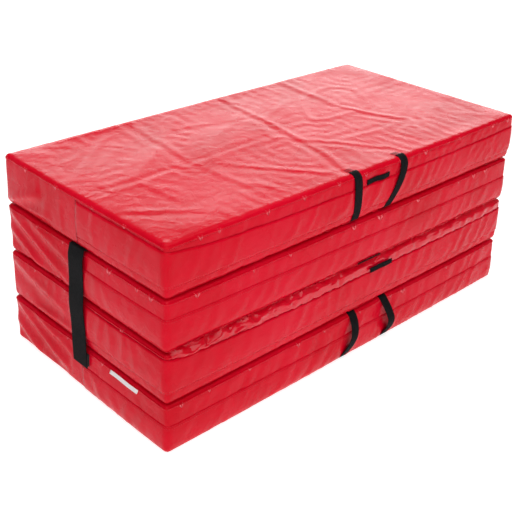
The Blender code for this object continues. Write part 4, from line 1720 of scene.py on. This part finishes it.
# %% The strip before its run
FOLD_MARGIN = 0.012
FOLD_HALF = PANEL_LENGTH / 2 - FOLD_MARGIN
FOLD_LOW_EDGE = -0.023
FOLD_HIGH_EDGE = 0.0055
FOLD_FROM_FLAP = 0.0015
FOLD_ROWS = 19
FOLD_CLEAR = 0.0006
FOLD_BULGE = 0.0022
FOLD_CRUMPLE = 0.0060
FOLD_WANDER = 0.0020
FOLD_END_TAPER = 0.03
FOLD_LEAN = 0.02
FOLD_HEIGHT = 0.030
FOLD_SOFT_GRAIN = (7, 1, 30)
FOLD_PINCH_GRAIN = (14, 1, 40)
FOLD_PINCH_SHARPNESS = 2.4
FOLD_PINCH = 0.8
FOLD_MEAN_PUSH = 0.5
FOLD_BULK_AT_LEFT = 1.2
FOLD_BULK_LOSS = 1.05


def fold_start(lower, outward, x):
    """The strip before its run: its points, and how loose, how bulky and how far up the strip each is."""
    low_edge = -(flap_edge_drop(lower, x) + FOLD_FROM_FLAP) if lower == 2 else np.full_like(x, FOLD_LOW_EDGE)
    along = np.repeat(x, FOLD_ROWS)
    share = np.tile(np.linspace(0, 1, FOLD_ROWS), len(x))
    loose = np.clip((FOLD_HALF - abs(along)) / FOLD_END_TAPER, 0, 1) ** 0.5 * np.sin(math.pi * share) ** 0.7
    lean = stacked(along + FOLD_LEAN * share, 0, FOLD_HEIGHT * share)
    soft = noise_at(lean, FOLD_SOFT_GRAIN, 90 + lower)
    pinched = 1 - FOLD_PINCH_SHARPNESS * abs(noise_at(lean, FOLD_PINCH_GRAIN, 95 + lower))
    bulk = FOLD_BULK_AT_LEFT - FOLD_BULK_LOSS * (along / PANEL_LENGTH + 0.5)
    rise = np.repeat(low_edge, FOLD_ROWS) * (1 - share) + FOLD_HIGH_EDGE * share
    points = stacked(along, 0, FOLD_Z[lower - 1] + rise + FOLD_WANDER * soft * loose)
    push = bulk * FOLD_CRUMPLE * np.clip(FOLD_MEAN_PUSH + soft + FOLD_PINCH * pinched, 0, None)
    lift = FOLD_CLEAR + loose * (FOLD_BULGE + push)
    spread = gap_floor(lower, outward, points) + lift
    points[:, 1] = outward * (PANEL_WIDTH / 2 + spread)
    return points, loose, bulk, share


print("fold strips", round(2 * FOLD_HALF, 3), "m long")

# %% [markdown]
# ## Crumpling the strip
# Then the strip is run as cloth with a lot of spare length. Its edges are held, because they are sewn,
# and so are its two ends. What comes out is pressed back between the gap's floor and a highest place,
# which is lower to the right, where the strip lies deeper in its gap.

# %% Crumpling the strip
FOLD_SLACK = 0.035
FOLD_STIFFNESS = 2.5
FOLD_GRIP = 0.1
FOLD_END_HELD = 0.002
FOLD_SWAY = 0.005
FOLD_OFF_COVER = 0.0005
FOLD_LOOSE_LIFT = 0.0020
FOLD_PLAY = 0.001
FOLD_HIGHEST = 0.0125
FOLD_LEAST_BULK = 0.4


def crumple_fold(lower, outward, count, points, loose, bulk, share):
    """Runs the strip as cloth and presses it back over its gap."""
    held = (share == 0) | (share == 1) | (abs(points[:, 0]) > FOLD_HALF - FOLD_END_HELD)
    faces = grid_faces(count, FOLD_ROWS, outward > 0)
    moved = buckle(points, faces, np.where(held, 1, FOLD_GRIP), FOLD_SLACK, FOLD_STIFFNESS)
    moved[:, 2] = np.clip(moved[:, 2], points[:, 2] - FOLD_SWAY, points[:, 2] + FOLD_SWAY)
    floor = gap_floor(lower, outward, moved) + FOLD_OFF_COVER + FOLD_LOOSE_LIFT * loose
    highest = np.maximum(floor + FOLD_PLAY, FOLD_HIGHEST * np.clip(bulk, FOLD_LEAST_BULK, 1))
    out = np.clip(outward * moved[:, 1] - PANEL_WIDTH / 2, floor, highest)
    moved[:, 1] = outward * (PANEL_WIDTH / 2 + out)
    return moved


print("spare cloth in a fold", round(100 * FOLD_SLACK, 1), "percent")

# %% [markdown]
# ## Fold cloth
# Folds 1-2 and 3-4 are at the back and fold 2-3 is at the front, so the mat opens as a zigzag.

# %% Fold cloth
FOLD_STEP = 0.005
FOLD_THICKNESS = 0.0008


def make_fold(lower):
    upper = lower + 1
    outward = 1 if lower % 2 == 1 else -1
    count = round(2 * FOLD_HALF / FOLD_STEP) + 1
    points, loose, bulk, share = fold_start(lower, outward, np.linspace(-FOLD_HALF, FOLD_HALF, count))
    points = crumple_fold(lower, outward, count, points, loose, bulk, share)
    fold = add_sheet(f"fold_cloth_{lower}_{upper}", points, count, FOLD_ROWS, FOLD_THICKNESS, red_fold_cloth,
                     outward > 0, offset=0.0)
    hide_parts(f"hinge_{lower}_{upper}_lower", f"hinge_{lower}_{upper}_upper")
    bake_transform(fold)


for lower in PANELS[:-1]:
    make_fold(lower)

# %% [markdown]
# ## Label
# A narrow woven label is caught in the seam by the rim of the bottom panel's left end. It is left blank.
# Only its edge shows, so it is a small curled strip.

# %% Label
LABEL_LENGTH = 0.100
LABEL_HEIGHT = 0.008
LABEL_THICKNESS = 0.0005
LABEL_STEPS = 18
LABEL_ROWS = 5
LABEL_MIDDLE_Y = -0.158
LABEL_DROP = 0.006
LABEL_CURL = 0.0040
LABEL_CURL_SHAPE = 1.5
LABEL_FACE_GAP = 0.002
LABEL_STANDOFF = 0.0015
LABEL_RIPPLE = 0.0006
LABEL_RIPPLE_RATE = 60


def make_label():
    y = np.linspace(-LABEL_LENGTH / 2, LABEL_LENGTH / 2, LABEL_STEPS) + LABEL_MIDDLE_Y
    face_x = -PANEL_LENGTH / 2 - LABEL_FACE_GAP
    lines = []
    for share in np.linspace(0, 1, LABEL_ROWS):
        curl = LABEL_CURL * share**LABEL_CURL_SHAPE
        out = LABEL_STANDOFF + curl + LABEL_RIPPLE * np.sin(LABEL_RIPPLE_RATE * y)
        lines.append(stacked(face_x - out, y, PANEL_THICKNESS - LABEL_DROP - LABEL_HEIGHT * share))
    label = add_sheet("blank_label", grid_points(lines), LABEL_STEPS, LABEL_ROWS, LABEL_THICKNESS, label_tape)
    belongs_to(label, "panel_1", "white_tape", "label")


make_label()
print("label", round(1000 * LABEL_LENGTH), "mm, blank")

# %% [markdown]
# ## Finishes for the solids that stay
# The zips, their sliders and the strap anchors keep their solids. Each only needs its finish.

# %% Finishes for the solids that stay
FINISHES = {f"zip_{panel}": zip_tape for panel in PANELS}
FINISHES.update({f"zip_slider_{panel}": slider_metal for panel in PANELS})
FINISHES.update({f"strap_anchor_{name}": strap_webbing for end, name in STRAPS})
for name, material in FINISHES.items():
    mesh = frame["nodes"][name].data
    mesh.materials.clear()
    mesh.materials.append(material)
print("solids finished", len(FINISHES))
